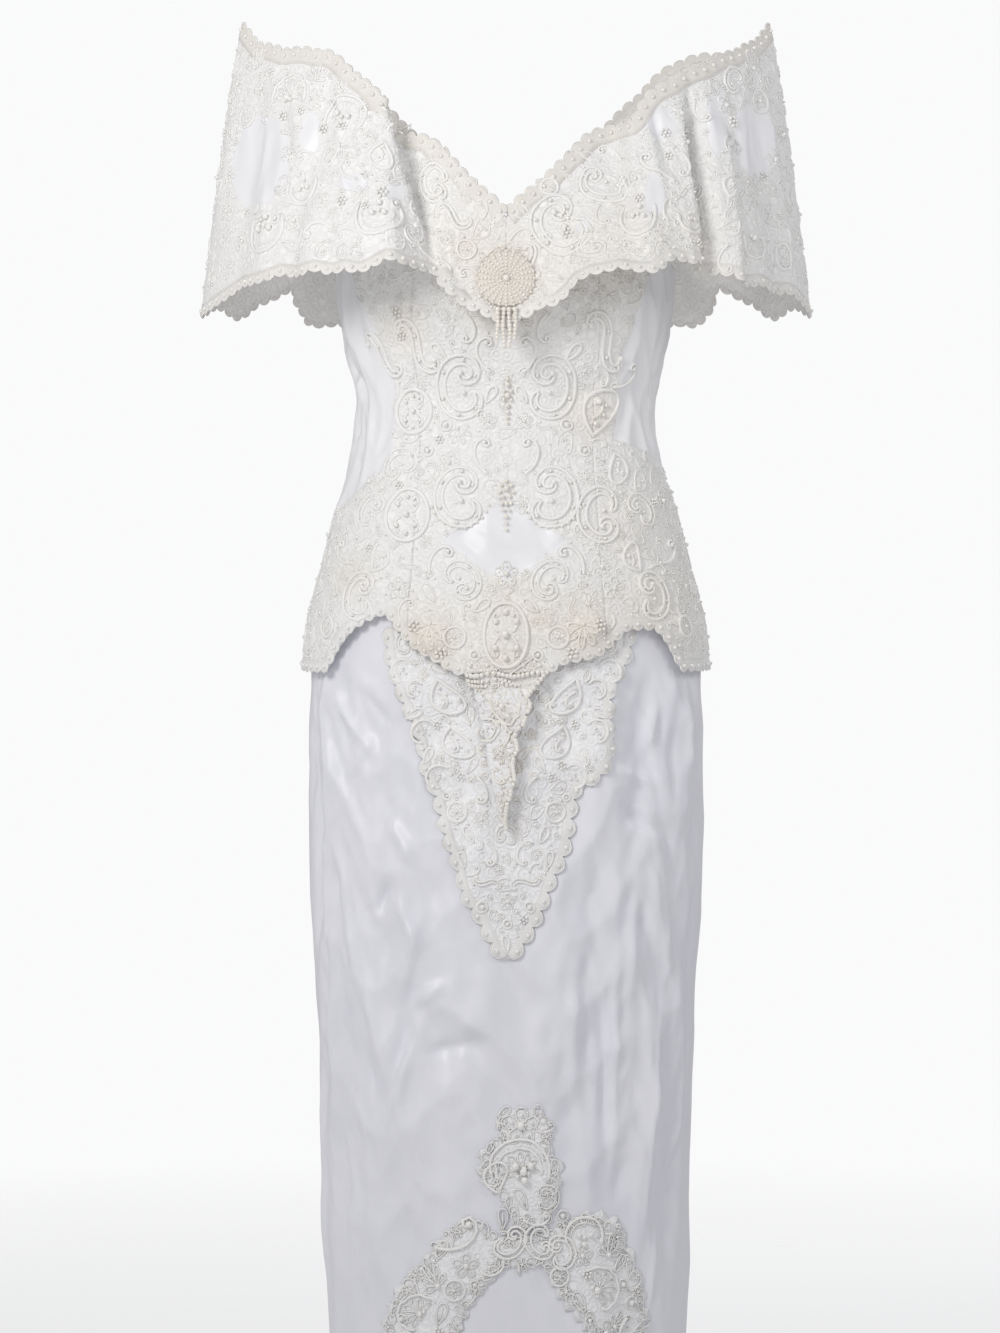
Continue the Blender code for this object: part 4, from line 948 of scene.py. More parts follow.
class Paint:
    """A procedural material, built node by node."""

    def __init__(self, name):
        self.material = bpy.data.materials.new(name)
        self.material.use_nodes = True
        self.tree = self.material.node_tree
        self.shader = self.tree.nodes["Principled BSDF"]
        self.place = self.node("ShaderNodeTexCoord").outputs["Object"]

    def node(self, kind, **settings):
        made = self.tree.nodes.new(kind)
        for key, value in settings.items():
            setattr(made, key, value)
        return made

    def link(self, source, target):
        self.tree.links.new(source, target)
        return target

    def noise(self, scale, detail=3.0, stretch=(1, 1, 1)):
        mapping = self.node("ShaderNodeMapping")
        mapping.inputs["Scale"].default_value = stretch
        self.link(self.place, mapping.inputs["Vector"])
        made = self.node("ShaderNodeTexNoise")
        made.inputs["Scale"].default_value = scale
        made.inputs["Detail"].default_value = detail
        self.link(mapping.outputs[0], made.inputs["Vector"])
        return made.outputs["Fac"]

    def cells(self, scale, feature="F1"):
        made = self.node("ShaderNodeTexVoronoi", feature=feature)
        made.inputs["Scale"].default_value = scale
        self.link(self.place, made.inputs["Vector"])
        return made.outputs["Distance"]

    def weave(self, scale, direction):
        made = self.node("ShaderNodeTexWave", bands_direction=direction)
        made.inputs["Scale"].default_value = scale
        made.inputs["Distortion"].default_value = 0.6
        self.link(self.place, made.inputs["Vector"])
        return made.outputs["Fac"]

    def attribute(self, name):
        return self.node("ShaderNodeAttribute", attribute_name=name).outputs["Fac"]

    def ramp(self, source, low, high, start, end):
        """Source from low to high becomes start to end."""
        made = self.node("ShaderNodeMapRange")
        self.link(source, made.inputs["Value"])
        for name, value in (("From Min", low), ("From Max", high), ("To Min", start), ("To Max", end)):
            made.inputs[name].default_value = value
        return made.outputs["Result"]

    def grain(self, scale, start, end, detail=2.0, stretch=(1, 1, 1)):
        """Noise that runs from start to end."""
        return self.ramp(self.noise(scale, detail, stretch), 0.3, 0.7, start, end)

    def mix(self, amount, first, second):
        made = self.node("ShaderNodeMix", data_type="RGBA")
        self.link(amount, made.inputs["Factor"])
        for value, target in ((first, made.inputs["A"]), (second, made.inputs["B"])):
            if isinstance(value, tuple):
                target.default_value = (*value, 1.0)
            else:
                self.link(value, target)
        return made.outputs["Result"]

    def math(self, operation, first, second):
        made = self.node("ShaderNodeMath", operation=operation)
        for value, target in ((first, made.inputs[0]), (second, made.inputs[1])):
            if isinstance(value, (int, float)):
                target.default_value = value
            else:
                self.link(value, target)
        return made.outputs["Value"]

    def bump(self, height, strength, distance, under=None):
        made = self.node("ShaderNodeBump")
        made.inputs["Strength"].default_value = strength
        made.inputs["Distance"].default_value = distance
        self.link(height, made.inputs["Height"])
        if under is not None:
            self.link(under, made.inputs["Normal"])
        return made.outputs["Normal"]

    def finish(self, colour, roughness, normal):
        self.link(colour, self.shader.inputs["Base Color"])
        self.link(roughness, self.shader.inputs["Roughness"])
        self.link(normal, self.shader.inputs["Normal"])
        return self.material


def stitches(paint):
    """Embroidered rounds between the cords, over a finer net."""
    rounds = paint.math("SINE", paint.math("MULTIPLY", paint.cells(105), 17.0), 0.0)
    rounds = paint.ramp(rounds, -0.6, 0.8, 0, 0.75)
    return paint.math("ADD", rounds, paint.ramp(paint.cells(330), 0.15, 0.75, 0, 0.3))


def clouded(paint, first, second):
    """Two close tones in soft, tall clouds."""
    cloud = paint.noise(14, 3.0, (1.0, 1.0, 0.45))
    return paint.mix(paint.ramp(cloud, 0.35, 0.7, 0, 1), first, second)


def satin_paint():
    """Bridal satin: a close weave with a broad soft gloss, slightly slubbed."""
    paint = Paint("bridal_satin")
    colour = clouded(paint, SATIN_WHITE, SATIN_SHADE)
    roughness = paint.grain(26, 0.39, 0.51, stretch=(1, 1, 0.4))
    slub = paint.bump(paint.noise(420, 2.0, (1, 1, 0.25)), 0.18, 0.0006)
    weave = paint.bump(paint.weave(260, "Z"), 0.12, 0.0003, slub)
    socket(paint.shader, "Specular IOR Level", 0.75)
    socket(paint.shader, "Sheen Weight", 0.1)
    return paint.finish(colour, roughness, weave)


def laced_satin_paint():
    """Satin where its lace attribute is 0, and the net ground of beaded lace where it is 1."""
    paint = Paint("lace_ground_on_satin")
    edge = paint.math("ADD", paint.grain(70, -0.3, 0.3, 3.0), paint.attribute("lace"))
    cover = paint.ramp(edge, 0.4, 0.6, 0, 1)
    stitch = stitches(paint)
    satin = clouded(paint, BODICE_WHITE, BODICE_SHADE)
    # The warm attribute warms and darkens the ground and thread: champagne beadwork, and painted shade in the
    # shaded zones on the right
    ground = paint.mix(paint.attribute("warm"), LACE_GROUND, WARM_GROUND)
    thread = paint.mix(paint.attribute("warm"), THREAD_WHITE, THREAD_WARM)
    colour = paint.mix(cover, satin, paint.mix(stitch, ground, thread))
    roughness = paint.ramp(cover, 0, 1, 0.42, 0.7)
    knots = paint.bump(paint.math("MULTIPLY", stitch, cover), 0.6, 0.0010)
    weave = paint.bump(paint.weave(260, "Z"), 0.12, 0.0003, knots)
    socket(paint.shader, "Specular IOR Level", 0.5)
    socket(paint.shader, "Sheen Weight", 0.12)
    return paint.finish(colour, roughness, weave)


def thread_paint(name, roughness_low, roughness_high, cool, warmest):
    """Rayon cord and embroidery thread, cool to warmest by the warm attribute."""
    paint = Paint(name)
    # Besides champagne thread, the warm attribute carries painted shade from the shaded zones
    warm = paint.math("ADD", paint.attribute("warm"), paint.grain(60, -0.15, 0.15))
    colour = paint.mix(warm, cool, warmest)
    roughness = paint.grain(300, roughness_low, roughness_high)
    twist = paint.bump(paint.noise(900, 2.0), 0.35, 0.0006)
    socket(paint.shader, "Sheen Weight", 0.2)
    return paint.finish(colour, roughness, twist)


def pearl_paint():
    """Glossy bead coating, white to champagne by the warm attribute."""
    paint = Paint("pearl_beads")
    # Besides champagne beads, the warm attribute carries painted shade from the shaded zones
    warm = paint.math("ADD", paint.attribute("warm"), paint.grain(180, -0.2, 0.2))
    colour = paint.mix(warm, PEARL_WHITE, PEARL_WARM)
    roughness = paint.grain(240, 0.12, 0.28)
    dimple = paint.bump(paint.noise(500, 2.0), 0.1, 0.0003)
    socket(paint.shader, "Specular IOR Level", 0.6)
    socket(paint.shader, "Coat Weight", 0.25)
    socket(paint.shader, "Coat Roughness", 0.12)
    return paint.finish(colour, roughness, dimple)


def net_paint():
    """Fine net that the motifs are worked on."""
    paint = Paint("applique_net")
    stitch = stitches(paint)
    ground = paint.mix(paint.attribute("warm"), NET_GROUND, WARM_GROUND)
    colour = paint.mix(stitch, ground, NET_THREAD)
    roughness = paint.grain(120, 0.6, 0.8)
    return paint.finish(colour, roughness, paint.bump(stitch, 0.6, 0.0010))


def floor_paint():
    """A pale floor that fades out before its edge."""
    paint = Paint("studio_floor")
    colour = paint.mix(paint.noise(1.5, 2.0), (0.90, 0.90, 0.905), (0.92, 0.92, 0.925))
    roughness = paint.grain(3, 0.6, 0.7)
    paint.finish(colour, roughness, paint.bump(paint.noise(40, 2.0), 0.02, 0.002))
    distance = paint.node("ShaderNodeVectorMath", operation="LENGTH")
    paint.link(paint.place, distance.inputs[0])
    paint.link(paint.ramp(distance.outputs["Value"], 0.7, 2.4, 0.6, 0), paint.shader.inputs["Alpha"])
    return paint.material


def add_piece(name, vertices, faces, finish, slot, replaced=(), **attributes):
    """A mesh in millimetres becomes a piece that rides on the dress."""
    mesh = bpy.data.meshes.new(name)
    mesh.from_pydata((np.asarray(vertices, float) * MM).tolist(), [], faces)
    mesh.shade_smooth()
    mesh.materials.append(finish)
    for key, values in attributes.items():
        made = mesh.attributes.new(key, "FLOAT", "POINT")
        made.data.foreach_set("value", np.asarray(values, np.float32))
    piece = bpy.data.objects.new(name, mesh)
    bpy.context.scene.collection.objects.link(piece)
    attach(piece, "root")
    if replaced:
        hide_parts(*replaced)
    return piece


def grid_faces(rows, columns, first, flip=False):
    """Quads of a grid of (rows + 1) by (columns + 1) points, numbered from first."""
    i, j = np.meshgrid(np.arange(rows), np.arange(columns), indexing="ij")
    low = first + i * (columns + 1) + j
    quads = np.stack([low, low + 1, low + columns + 2, low + columns + 1], -1).reshape(-1, 4)
    return quads[:, ::-1] if flip else quads


def shell(columns, rows, place, outer, inner, step=2):
    """Vertices and faces of a thin closed wall. Its inner face keeps one point in step each way."""
    across, up = np.meshgrid(np.linspace(0, 1, columns + 1), np.linspace(0, 1, rows + 1))
    a, b = place(across, up)
    outside = outer(a, b)
    inside = inner(a[::step, ::step], b[::step, ::step])
    count = outside.shape[0] * outside.shape[1]
    inner_rows, inner_columns = inside.shape[0] - 1, inside.shape[1] - 1
    faces = grid_faces(rows, columns, 0).tolist()
    faces += grid_faces(inner_rows, inner_columns, count, True).tolist()
    out_index = np.arange(count).reshape(outside.shape[:2])
    in_index = count + np.arange(inside.shape[0] * inside.shape[1]).reshape(inside.shape[:2])

    def rim(outer_line, inner_line, turned):
        for k in range(len(inner_line) - 1):
            stretch = outer_line[k * step : (k + 1) * step + 1]
            fans = [[first, second, inner_line[k]] for first, second in zip(stretch, stretch[1:])]
            fans.append([stretch[-1], inner_line[k + 1], inner_line[k]])
            faces.extend([fan[::-1] for fan in fans] if turned else fans)

    rim(out_index[0].tolist(), in_index[0].tolist(), True)
    rim(out_index[-1].tolist(), in_index[-1].tolist(), False)
    rim(out_index[:, 0].tolist(), in_index[:, 0].tolist(), False)
    rim(out_index[:, -1].tolist(), in_index[:, -1].tolist(), True)
    vertices = np.concatenate([outside.reshape(-1, 3), inside.reshape(-1, 3)])
    return vertices, faces, (a.ravel(), b.ravel()), len(inside.reshape(-1, 3))


def plate(over, under):
    """Vertices and faces of a closed plate between two grids of points of one size."""
    across, up = over[0, 1] - over[0, 0], over[1, 0] - over[0, 0]
    flip = bool((np.cross(across, up) * (over - under)[0, 0]).sum() < 0)
    rows, columns, count = over.shape[0], over.shape[1], over.shape[0] * over.shape[1]
    faces = grid_faces(rows - 1, columns - 1, 0, flip).tolist()
    faces += grid_faces(rows - 1, columns - 1, count, not flip).tolist()
    index = np.arange(count).reshape(rows, columns)
    line = np.concatenate([index[0], index[1:, -1], index[-1, -2::-1], index[-2:0:-1, 0]])
    for first, second in zip(line.tolist(), np.roll(line, -1).tolist()):
        face = [second, first, first + count, second + count]
        faces.append(face[::-1] if flip else face)
    return np.concatenate([over.reshape(-1, 3), under.reshape(-1, 3)]), faces


def sweep(points, normals, widths, closed, section):
    """A cord's rings of points and its faces, its section lying on the cloth."""
    ahead = np.roll(points, -1, 0) - np.roll(points, 1, 0)
    if not closed:
        ahead[0], ahead[-1] = points[1] - points[0], points[-1] - points[-2]
    side = unit(np.cross(unit(ahead), normals))
    across, up = np.array(section).T
    half = widths[:, None, None] / 2
    lift = half * up[None, :, None] - CORD_SINK
    rings = points[:, None] + side[:, None] * half * across[None, :, None] + normals[:, None] * lift
    count, sides = len(points), len(section)
    i = np.arange(count if closed else count - 1)[:, None]
    k = np.arange(sides)[None, :]
    after, beside = (i + 1) % count, (k + 1) % sides
    quads = np.stack([i * sides + k, after * sides + k, after * sides + beside, i * sides + beside], -1)
    return rings.reshape(-1, 3), quads.reshape(-1, 4)


def sphere(rings, spokes):
    """A unit bead, its poles along Z."""
    vertices = [(0, 0, 1.0)]
    for i in range(1, rings):
        polar = math.pi * i / rings
        for k in range(spokes):
            angle = math.tau * (k + 0.5 * (i % 2)) / spokes
            vertices.append((
                math.sin(polar) * math.cos(angle), math.sin(polar) * math.sin(angle), math.cos(polar)))
    vertices.append((0, 0, -1.0))
    faces = [[0, 1 + k, 1 + (k + 1) % spokes] for k in range(spokes)]
    for i in range(rings - 2):
        low, high = 1 + i * spokes, 1 + (i + 1) * spokes
        for k in range(spokes):
            faces.append([low + k, high + k, high + (k + 1) % spokes, low + (k + 1) % spokes])
    last, end = 1 + (rings - 2) * spokes, len(vertices) - 1
    faces += [[last + (k + 1) % spokes, last + k, end] for k in range(spokes)]
    return np.array(vertices), faces


SEED_BEAD = sphere(3, 5)
PEARL_BEAD = sphere(5, 8)


def bead_mesh(centres, radii, template):
    """Vertices and faces of beads at these centres."""
    shape, faces = template
    vertices = centres[:, None] + shape[None] * radii[:, None, None]
    joined = []
    for k in range(len(centres)):
        joined.extend([[k * len(shape) + v for v in face] for face in faces])
    return vertices.reshape(-1, 3), joined


# Motifs of one millimetre's radius. Each gives its strokes, as points, width share and whether closed,
# and its beads, as x, y and radius.
def curve(start_turn, middle_turn, end_turn, count=22, sharp=4.0):
    """A line that climbs at its middle and curls at its ends, as far as the turns in degrees say."""
    t = 0.5 - 0.5 * np.cos(np.linspace(0, math.pi, count))
    fine = np.linspace(0, 1, 400)
    rate = middle_turn + (sharp + 1) * (start_turn * (1 - fine) ** sharp + end_turn * fine**sharp)
    heading = np.concatenate([[0], np.cumsum((rate[1:] + rate[:-1]) / 2 * np.diff(fine))])
    heading = np.radians(heading - heading[200] + 90)
    run = np.concatenate([[(0, 0)], np.cumsum(np.stack([np.cos(heading), np.sin(heading)], -1)[:-1], 0)])
    line = np.stack([np.interp(t, fine, run[:, 0]), np.interp(t, fine, run[:, 1])], -1)
    low, high = line.min(0), line.max(0)
    return (line - (low + high) / 2) / (max(high - low) / 2)


def band(line, width, start=0.0):
    """A closed outline round a line, widest in its middle."""
    t = np.linspace(0, 1, len(line))
    ahead = np.gradient(line, axis=0)
    side = np.stack([-ahead[:, 1], ahead[:, 0]], -1) / np.linalg.norm(ahead, axis=1)[:, None]
    half = width / 2 * np.maximum(start, np.sin(math.pi * t) ** 0.7)[:, None]
    return np.concatenate([line + side * half, (line - side * half)[::-1]])


def arc(radius, start, end, count):
    angles = np.radians(np.linspace(start, end, count))
    return np.stack([radius * np.cos(angles), radius * np.sin(angles)], -1)


def drop(length, width, count, angle=90.0, centre=(0, 0), bend=0.0):
    """A closed teardrop from its point, at centre, out along angle."""
    t = np.linspace(0, math.tau, count, endpoint=False)
    v = length * (1 - np.cos(t)) / 2
    u = width / 2 * np.sin(t) * np.sin(t / 2) * 1.3 + bend * (v / length) ** 2 * length
    c, s = math.cos(math.radians(angle - 90)), math.sin(math.radians(angle - 90))
    return np.stack([centre[0] + u * c - v * s, centre[1] + u * s + v * c], -1)


def ringed_beads(count, reach, radius, first=0.0, centre=(0, 0)):
    angles = np.radians(first) + np.arange(count) * math.tau / count
    return [(centre[0] + reach * math.cos(a), centre[1] + reach * math.sin(a), radius) for a in angles]


def beads_on(line, steps, radius):
    return [(*line[k], radius) for k in np.linspace(len(line) * 0.22, len(line) * 0.74, steps).astype(int)]


def c_scroll(count=22):
    line = curve(170, 150, 300, count)
    ends = [(*line[-1], 0.12), (-0.15, -0.15, 0.1)]
    return [(band(line, 0.34), 1.0, True)], beads_on(line, 6, 0.075) + ends


def s_scroll(count=22):
    line = curve(-250, 0, 250, count)
    ends = [(*line[-1], 0.11), (*line[0], 0.11)]
    return [(band(line, 0.30), 1.0, True)], beads_on(line, 4, 0.075) + ends


def hook():
    line = curve(0, 130, 320, 17)
    leaf = drop(0.75, 0.34, 9, angle=200, centre=line[4])
    return [(line, 1.25, False), (leaf, 0.8, True)], [(*line[-1], 0.15), (*line[2], 0.09)]


def ring():
    return [(arc(0.8, 0, 360, 11)[:-1], 1.0, True)], [(0, 0, 0.36)]


def eyelet():
    return [(arc(0.85, 0, 360, 10)[:-1], 1.0, True)], []


def flower():
    petals = [(drop(0.95, 0.62, 9, angle=a), 0.85, True) for a in np.arange(5) * 72 + 18]
    return petals, [(0, 0, 0.2)] + ringed_beads(5, 0.55, 0.1, 18)


def bead_flower():
    return [], [(0, 0, 0.3)] + ringed_beads(6, 0.68, 0.3, 12)


def lobe():
    rim = arc(0.95, 150, 390, 20)
    inner = arc(0.68, 165, 375, 14)
    beads = ringed_beads(3, 0.3, 0.13, 90, (0, 0.1)) + [(0, 0.05, 0.1)]
    return [(rim, 1.15, False), (inner, 0.7, False)], beads


def shell_motif():
    ribs = [(drop(0.82, 0.26, 8, angle=a), 0.65, True) for a in np.linspace(-10, 190, 7)]
    reach = 0.95 + 0.06 * np.abs(np.sin(np.linspace(0, 7 * math.pi, 29)))
    rim = arc(reach, -22, 202, 29)
    return ribs + [(rim, 1.0, False)], [(0, -0.1, 0.17), (-0.22, -0.2, 0.1), (0.22, -0.2, 0.1)]


def palmette():
    fan = ((90, 1.55), (52, 1.35), (128, 1.35), (14, 1.0), (166, 1.0))
    leaves = [(drop(reach, 0.4, 9, angle=a, centre=(0, -0.6)), 0.9, True) for a, reach in fan]
    return leaves, [(0, -0.62, 0.17), (0, 0.1, 0.08), (0.4, -0.05, 0.08), (-0.4, -0.05, 0.08)]


def paisley():
    outer = drop(1.9, 1.5, 18, centre=(0, -0.95), bend=0.3)
    curl = curve(0, 120, 260, 12) * 0.42 + (0.05, 0.1)
    beads = [(*curl[-1], 0.12), (0.0, -0.5, 0.1), (0.32, -0.1, 0.08), (0.4, 0.3, 0.08)]
    return [(outer, 1.1, True), (curl, 0.9, False)], beads


def leaf():
    outer = drop(1.9, 0.85, 12, centre=(0, -0.95))
    vein = np.array([(0, -0.85), (0.03, -0.1), (0, 0.55)])
    return [(outer, 1.0, True), (vein, 0.7, False)], []


def medallion():
    rim = arc(1.0, 0, 360, 27)[:-1] * (0.86, 1.0)
    curls = []
    for x in (-1, 1):
        for y in (-1, 1):
            curls.append((curve(0, 110, 250, 11) * (0.27 * x, 0.3 * y) + (0.34 * x, 0.38 * y), 0.8, False))
    middle = [(0, 0.7, 0.1), (0, -0.7, 0.1), (0, 0, 0.12)]
    corners = [(0.36, 0.4, 0.1), (-0.36, 0.4, 0.1), (0.36, -0.4, 0.1), (-0.36, -0.4, 0.1)]
    return [(rim, 1.2, True)] + curls, middle + corners


def wheel():
    rim = arc(0.95, 0, 360, 23)[:-1]
    petals = [(drop(0.66, 0.36, 8, angle=a), 0.7, True) for a in np.arange(6) * 60 + 30]
    return [(rim, 1.15, True)] + petals, [(0, 0, 0.16)]


MAKERS = (
    c_scroll, s_scroll, hook, ring, eyelet, flower, bead_flower, lobe, shell_motif, palmette, paisley, leaf,
    medallion, wheel,
)
MOTIFS = {maker.__name__: maker() for maker in MAKERS}
# The same scrolls with more points, for large sizes
LARGE_MOTIFS = {"c_scroll": c_scroll(38), "s_scroll": s_scroll(34)}

Placed = namedtuple("Placed", "kind a b size tilt flip width warm")
Stroke = namedtuple("Stroke", "a b width closed warm")
Bead = namedtuple("Bead", "a b radius warm")


class Lace:
    """Corded motifs and beads gathered on one carrier, then made into meshes."""

    def __init__(self, carrier):
        self.carrier = carrier
        self.placed, self.strokes, self.beads = [], [], []

    def place(self, kind, a, b, size, tilt=0.0, flip=1, width=1.7, warm=None):
        self.placed.append(Placed(kind, float(a), float(b), size, tilt, flip, width, warm))

    def line(self, a, b, width, warm=None):
        self.strokes.append(Stroke(a, b, width, False, warm))

    def bead(self, a, b, radius, warm=None):
        self.beads.append(Bead(float(a), float(b), radius, warm))

    def spread(self):
        """Turns the placed motifs into strokes and beads in the carrier's own parameters."""
        frames = self.carrier.frame(column(self.placed, "a"), column(self.placed, "b"))
        for item, local in zip(self.placed, frames):
            c, s = math.cos(math.radians(item.tilt)), math.sin(math.radians(item.tilt))
            turned = np.array([[c, s], [-s, c]])
            large = item.size > LARGE_MOTIF and item.kind in LARGE_MOTIFS
            strokes, beads = (LARGE_MOTIFS if large else MOTIFS)[item.kind]
            for line, share, closed in strokes:
                moved = (line * (item.flip, 1) * item.size) @ turned @ local.T
                a, b = item.a + moved[:, 0], item.b + moved[:, 1]
                self.strokes.append(Stroke(a, b, item.width * share, closed, item.warm))
            for x, y, radius in beads:
                moved = local @ (np.array([x * item.flip, y]) * item.size @ turned)
                radius = max(SMALLEST_BEAD, radius * item.size)
                self.bead(item.a + moved[0], item.b + moved[1], radius, item.warm)

    def warm_values(self, points, warm):
        return warmth(points) if warm is None else np.full(len(points), warm)

    def make(self, name, slot):
        """Makes one piece of the cords and one of the beads."""
        self.spread()
        a = np.concatenate([stroke.a for stroke in self.strokes])
        b = np.concatenate([stroke.b for stroke in self.strokes])
        points, normals = self.carrier.point(a, b), self.carrier.normal(a, b)
        vertices, faces, warms, start, first = [], [], [], 0, 0
        for stroke in self.strokes:
            count = len(stroke.a)
            span = slice(start, start + count)
            widths = np.full(count, stroke.width)
            section = HALF_ROUND if stroke.width > BOLD_CORD else RIDGE
            sides = len(section)
            if not stroke.closed:
                widths[[0, -1]] *= CORD_END
            rings, quads = sweep(points[span], normals[span], widths, stroke.closed, section)
            vertices.append(rings)
            faces.extend((quads + first).tolist())
            if not stroke.closed:
                last = first + (count - 1) * sides
                faces.append(list(range(first, first + sides)))
                faces.append(list(range(last + sides - 1, last - 1, -1)))
            warms.append(np.repeat(self.warm_values(points[span], stroke.warm), sides))
            first += len(rings)
            start += count
        add_piece(f"{name}_cords", np.concatenate(vertices), faces, THREAD, slot, warm=np.concatenate(warms))
        a, b, radii = (column(self.beads, key) for key in ("a", "b", "radius"))
        centres, normals = self.carrier.point(a, b), self.carrier.normal(a, b)
        warm = np.array([np.nan if bead.warm is None else bead.warm for bead in self.beads])
        warm = np.where(np.isnan(warm), warmth(centres), warm)
        make_beads(f"{name}_beads", centres + normals * (BEAD_LIFT * radii[:, None]), radii, warm, slot)


def make_beads(name, centres, radii, warm, slot, replaced=()):
    """Small beads and pearls of one area, joined."""
    vertices, faces, warms, first = [], [], [], 0
    for chosen, template in ((radii < PEARL_RADIUS, SEED_BEAD), (radii >= PEARL_RADIUS, PEARL_BEAD)):
        if chosen.any():
            points, joined = bead_mesh(centres[chosen], radii[chosen], template)
            vertices.append(points)
            faces.extend([[first + v for v in face] for face in joined])
            warms.append(np.repeat(warm[chosen], len(template[0])))
            first += len(points)
    add_piece(name, np.concatenate(vertices), faces, PEARL, slot, replaced, warm=np.concatenate(warms))


def fill(lace, region, a_range, b_range, sizes, tries, kinds, taken, width=2.1):
    """Packs small motifs into the free space of a region, the large ones first."""
    kept = [point for point, _ in taken]
    reach = [radius for _, radius in taken]
    for size in sizes:
        a = random.uniform(*a_range, tries)
        b = random.uniform(*b_range, tries)
        points = lace.carrier.point(a, b)
        for k in np.nonzero(region(a, b, points, size))[0]:
            gaps = np.linalg.norm(np.array(kept) - points[k], axis=1) - np.array(reach) - size
            if gaps.min() < -FILL_OVERLAP:
                continue
            small = size <= SMALL_MOTIF
            kind = "ring" if small else kinds[int(random.integers(len(kinds)))]
            kind = "flower" if kind == "bead_flower" and size > BEAD_FLOWER_LIMIT else kind
            tilt, flip = float(random.uniform(-180, 180)), int(random.choice([-1, 1]))
            if size < LOOSE_BEAD:
                lace.bead(a[k], b[k], size * 0.65)
            else:
                lace.place(kind, a[k], b[k], size, tilt, flip, width=width * 0.85 if small else width)
            kept.append(points[k])
            reach.append(size)


def along_edge(carrier, a, b, pitch, samples):
    """Even steps along an edge: its parameters at samples points for each pitch."""
    points = carrier.point(a, b)
    length = np.concatenate([[0], np.cumsum(np.linalg.norm(np.diff(points, axis=0), axis=1))])
    count = max(2, round(length[-1] / pitch))
    steps = np.linspace(0, length[-1], count * samples + 1)
    return np.interp(steps, length, a), np.interp(steps, length, b), count


def scalloped_trim(name, lace, a, b, side, slot, pitch=12.5, depth=9.0, stand=3.2, dip=TRIM_DIP, warm=None):
    """A band of scallops sewn along an edge: a close ground, a corded outline and a beaded ring in each."""
    carrier = lace.carrier
    a, b, count = along_edge(carrier, a, b, pitch, TRIM_SAMPLES)
    edge, normals = carrier.point(a, b), carrier.normal(a, b)
    away = unit(np.cross(unit(np.gradient(edge, axis=0)), normals)) * side
    wave = np.abs(np.sin(math.pi * np.arange(len(a)) / TRIM_SAMPLES)) ** 0.75
    rim = dip + (stand - dip) * wave
    frames = carrier.frame(a, b)
    right, up = local_axes(normals)
    axes = np.stack([(away * right).sum(-1), (away * up).sum(-1)], -1)

    def moved(offset):
        shift = np.einsum("nij,nj->ni", frames, axes * np.broadcast_to(offset, len(a))[:, None])
        return a + shift[:, 0], b + shift[:, 1]

    rows = [carrier.point(*moved(offset)) for offset in (-depth, -depth / 2, dip - 0.4)]
    rows.append(edge + away * rim[:, None])
    over = np.stack([row + normals * TRIM_OVER for row in rows])
    under = np.stack([row - normals * TRIM_UNDER for row in rows])
    vertices, faces = plate(over, under)
    add_piece(name, vertices, faces, TRIM, slot, warm=lace.warm_values(vertices, warm))
    lace.line(*moved(rim - 0.7), 2.0, warm)
    lace.line(*moved(-depth + 0.6), 1.5, warm)
    inner_a, inner_b = moved((stand - depth) / 2 + 0.4)
    size = min(pitch * 0.42, (depth + stand) * 0.42)
    for k in np.arange(count) * TRIM_SAMPLES + TRIM_SAMPLES // 2:
        lace.place("ring", inner_a[k], inner_b[k], size, width=1.5, warm=warm)


SATIN = satin_paint()
LACED_SATIN = laced_satin_paint()
THREAD = thread_paint("lace_thread", 0.5, 0.7, THREAD_WHITE, THREAD_WARM)
TRIM = thread_paint("lace_trim", 0.6, 0.8, LACE_GROUND, TRIM_WARM)
PEARL = pearl_paint()
NET = net_paint()
SKIRT = Carrier(skirt_outer)


def make_skirt():
    panels = (
        ("skirt_front", -SIDE_SEAM, SIDE_SEAM, 168, 300, 0.5),
        ("skirt_back_left", -CENTRE_BACK, -SIDE_SEAM, 60, 180, 0.27),
        ("skirt_back_right", SIDE_SEAM, CENTRE_BACK, 60, 180, 0.27),
    )
    for node, start, end, columns, rows, width in panels:
        def place(across, up):
            return between_seams(start, end, across), HEM_HEIGHT + (SKIRT_TOP - HEM_HEIGHT) * up

        vertices, faces, *_ = shell(columns, rows, place, skirt_outer, skirt_inner)
        piece = add_piece(f"{node}_satin", vertices, faces, SATIN, "satin", [node])


def make_bodice():
    def princess(side):
        return lambda height: side * read(PRINCESS_SEAM, "height", "turn", height)

    def fixed(turn):
        return lambda height: turn

    panels = (
        ("bodice_front", princess(-1), princess(1), 96, 168, 6, (0.20, 0.48)),
        ("bodice_side_left", fixed(-SIDE_SEAM), princess(-1), 54, 144, 4, (0.15, 0.48)),
        ("bodice_side_right", princess(1), fixed(SIDE_SEAM), 54, 144, 4, (0.15, 0.48)),
        ("bodice_back_left", fixed(-CENTRE_BACK), fixed(-SIDE_SEAM), 56, 110, 7, (0.27, 0.48)),
        ("bodice_back_right", fixed(SIDE_SEAM), fixed(CENTRE_BACK), 56, 110, 7, (0.27, 0.48)),
    )
    for node, start_turn, end_turn, columns, rows, scallops, flat in panels:
        def place(across, up):
            level = BODICE_HEM_MIDDLE + (BODICE_TOP_MIDDLE - BODICE_HEM_MIDDLE) * up
            turn = between_seams(start_turn(level), end_turn(level), across)
            beside_point = ease((np.abs(turn) - POINT_HALF_TURN) / POINT_FADE)
            low = edge_height(BASQUE_HEM, turn) - HEM_SCALLOP * beside_point * scallop(across, scallops)
            return turn, low + (edge_height(BODICE_TOP, turn) - low) * up

        vertices, faces, (turn, height), hidden = shell(columns, rows, place, bodice_outer, bodice_inner)
        cover = np.concatenate([bodice_cover(turn, height), np.zeros(hidden)])
        piece = add_piece(f"{node}_satin", vertices, faces, LACED_SATIN, "lace_on_satin", [node],
                          lace=cover, warm=warmth(vertices))


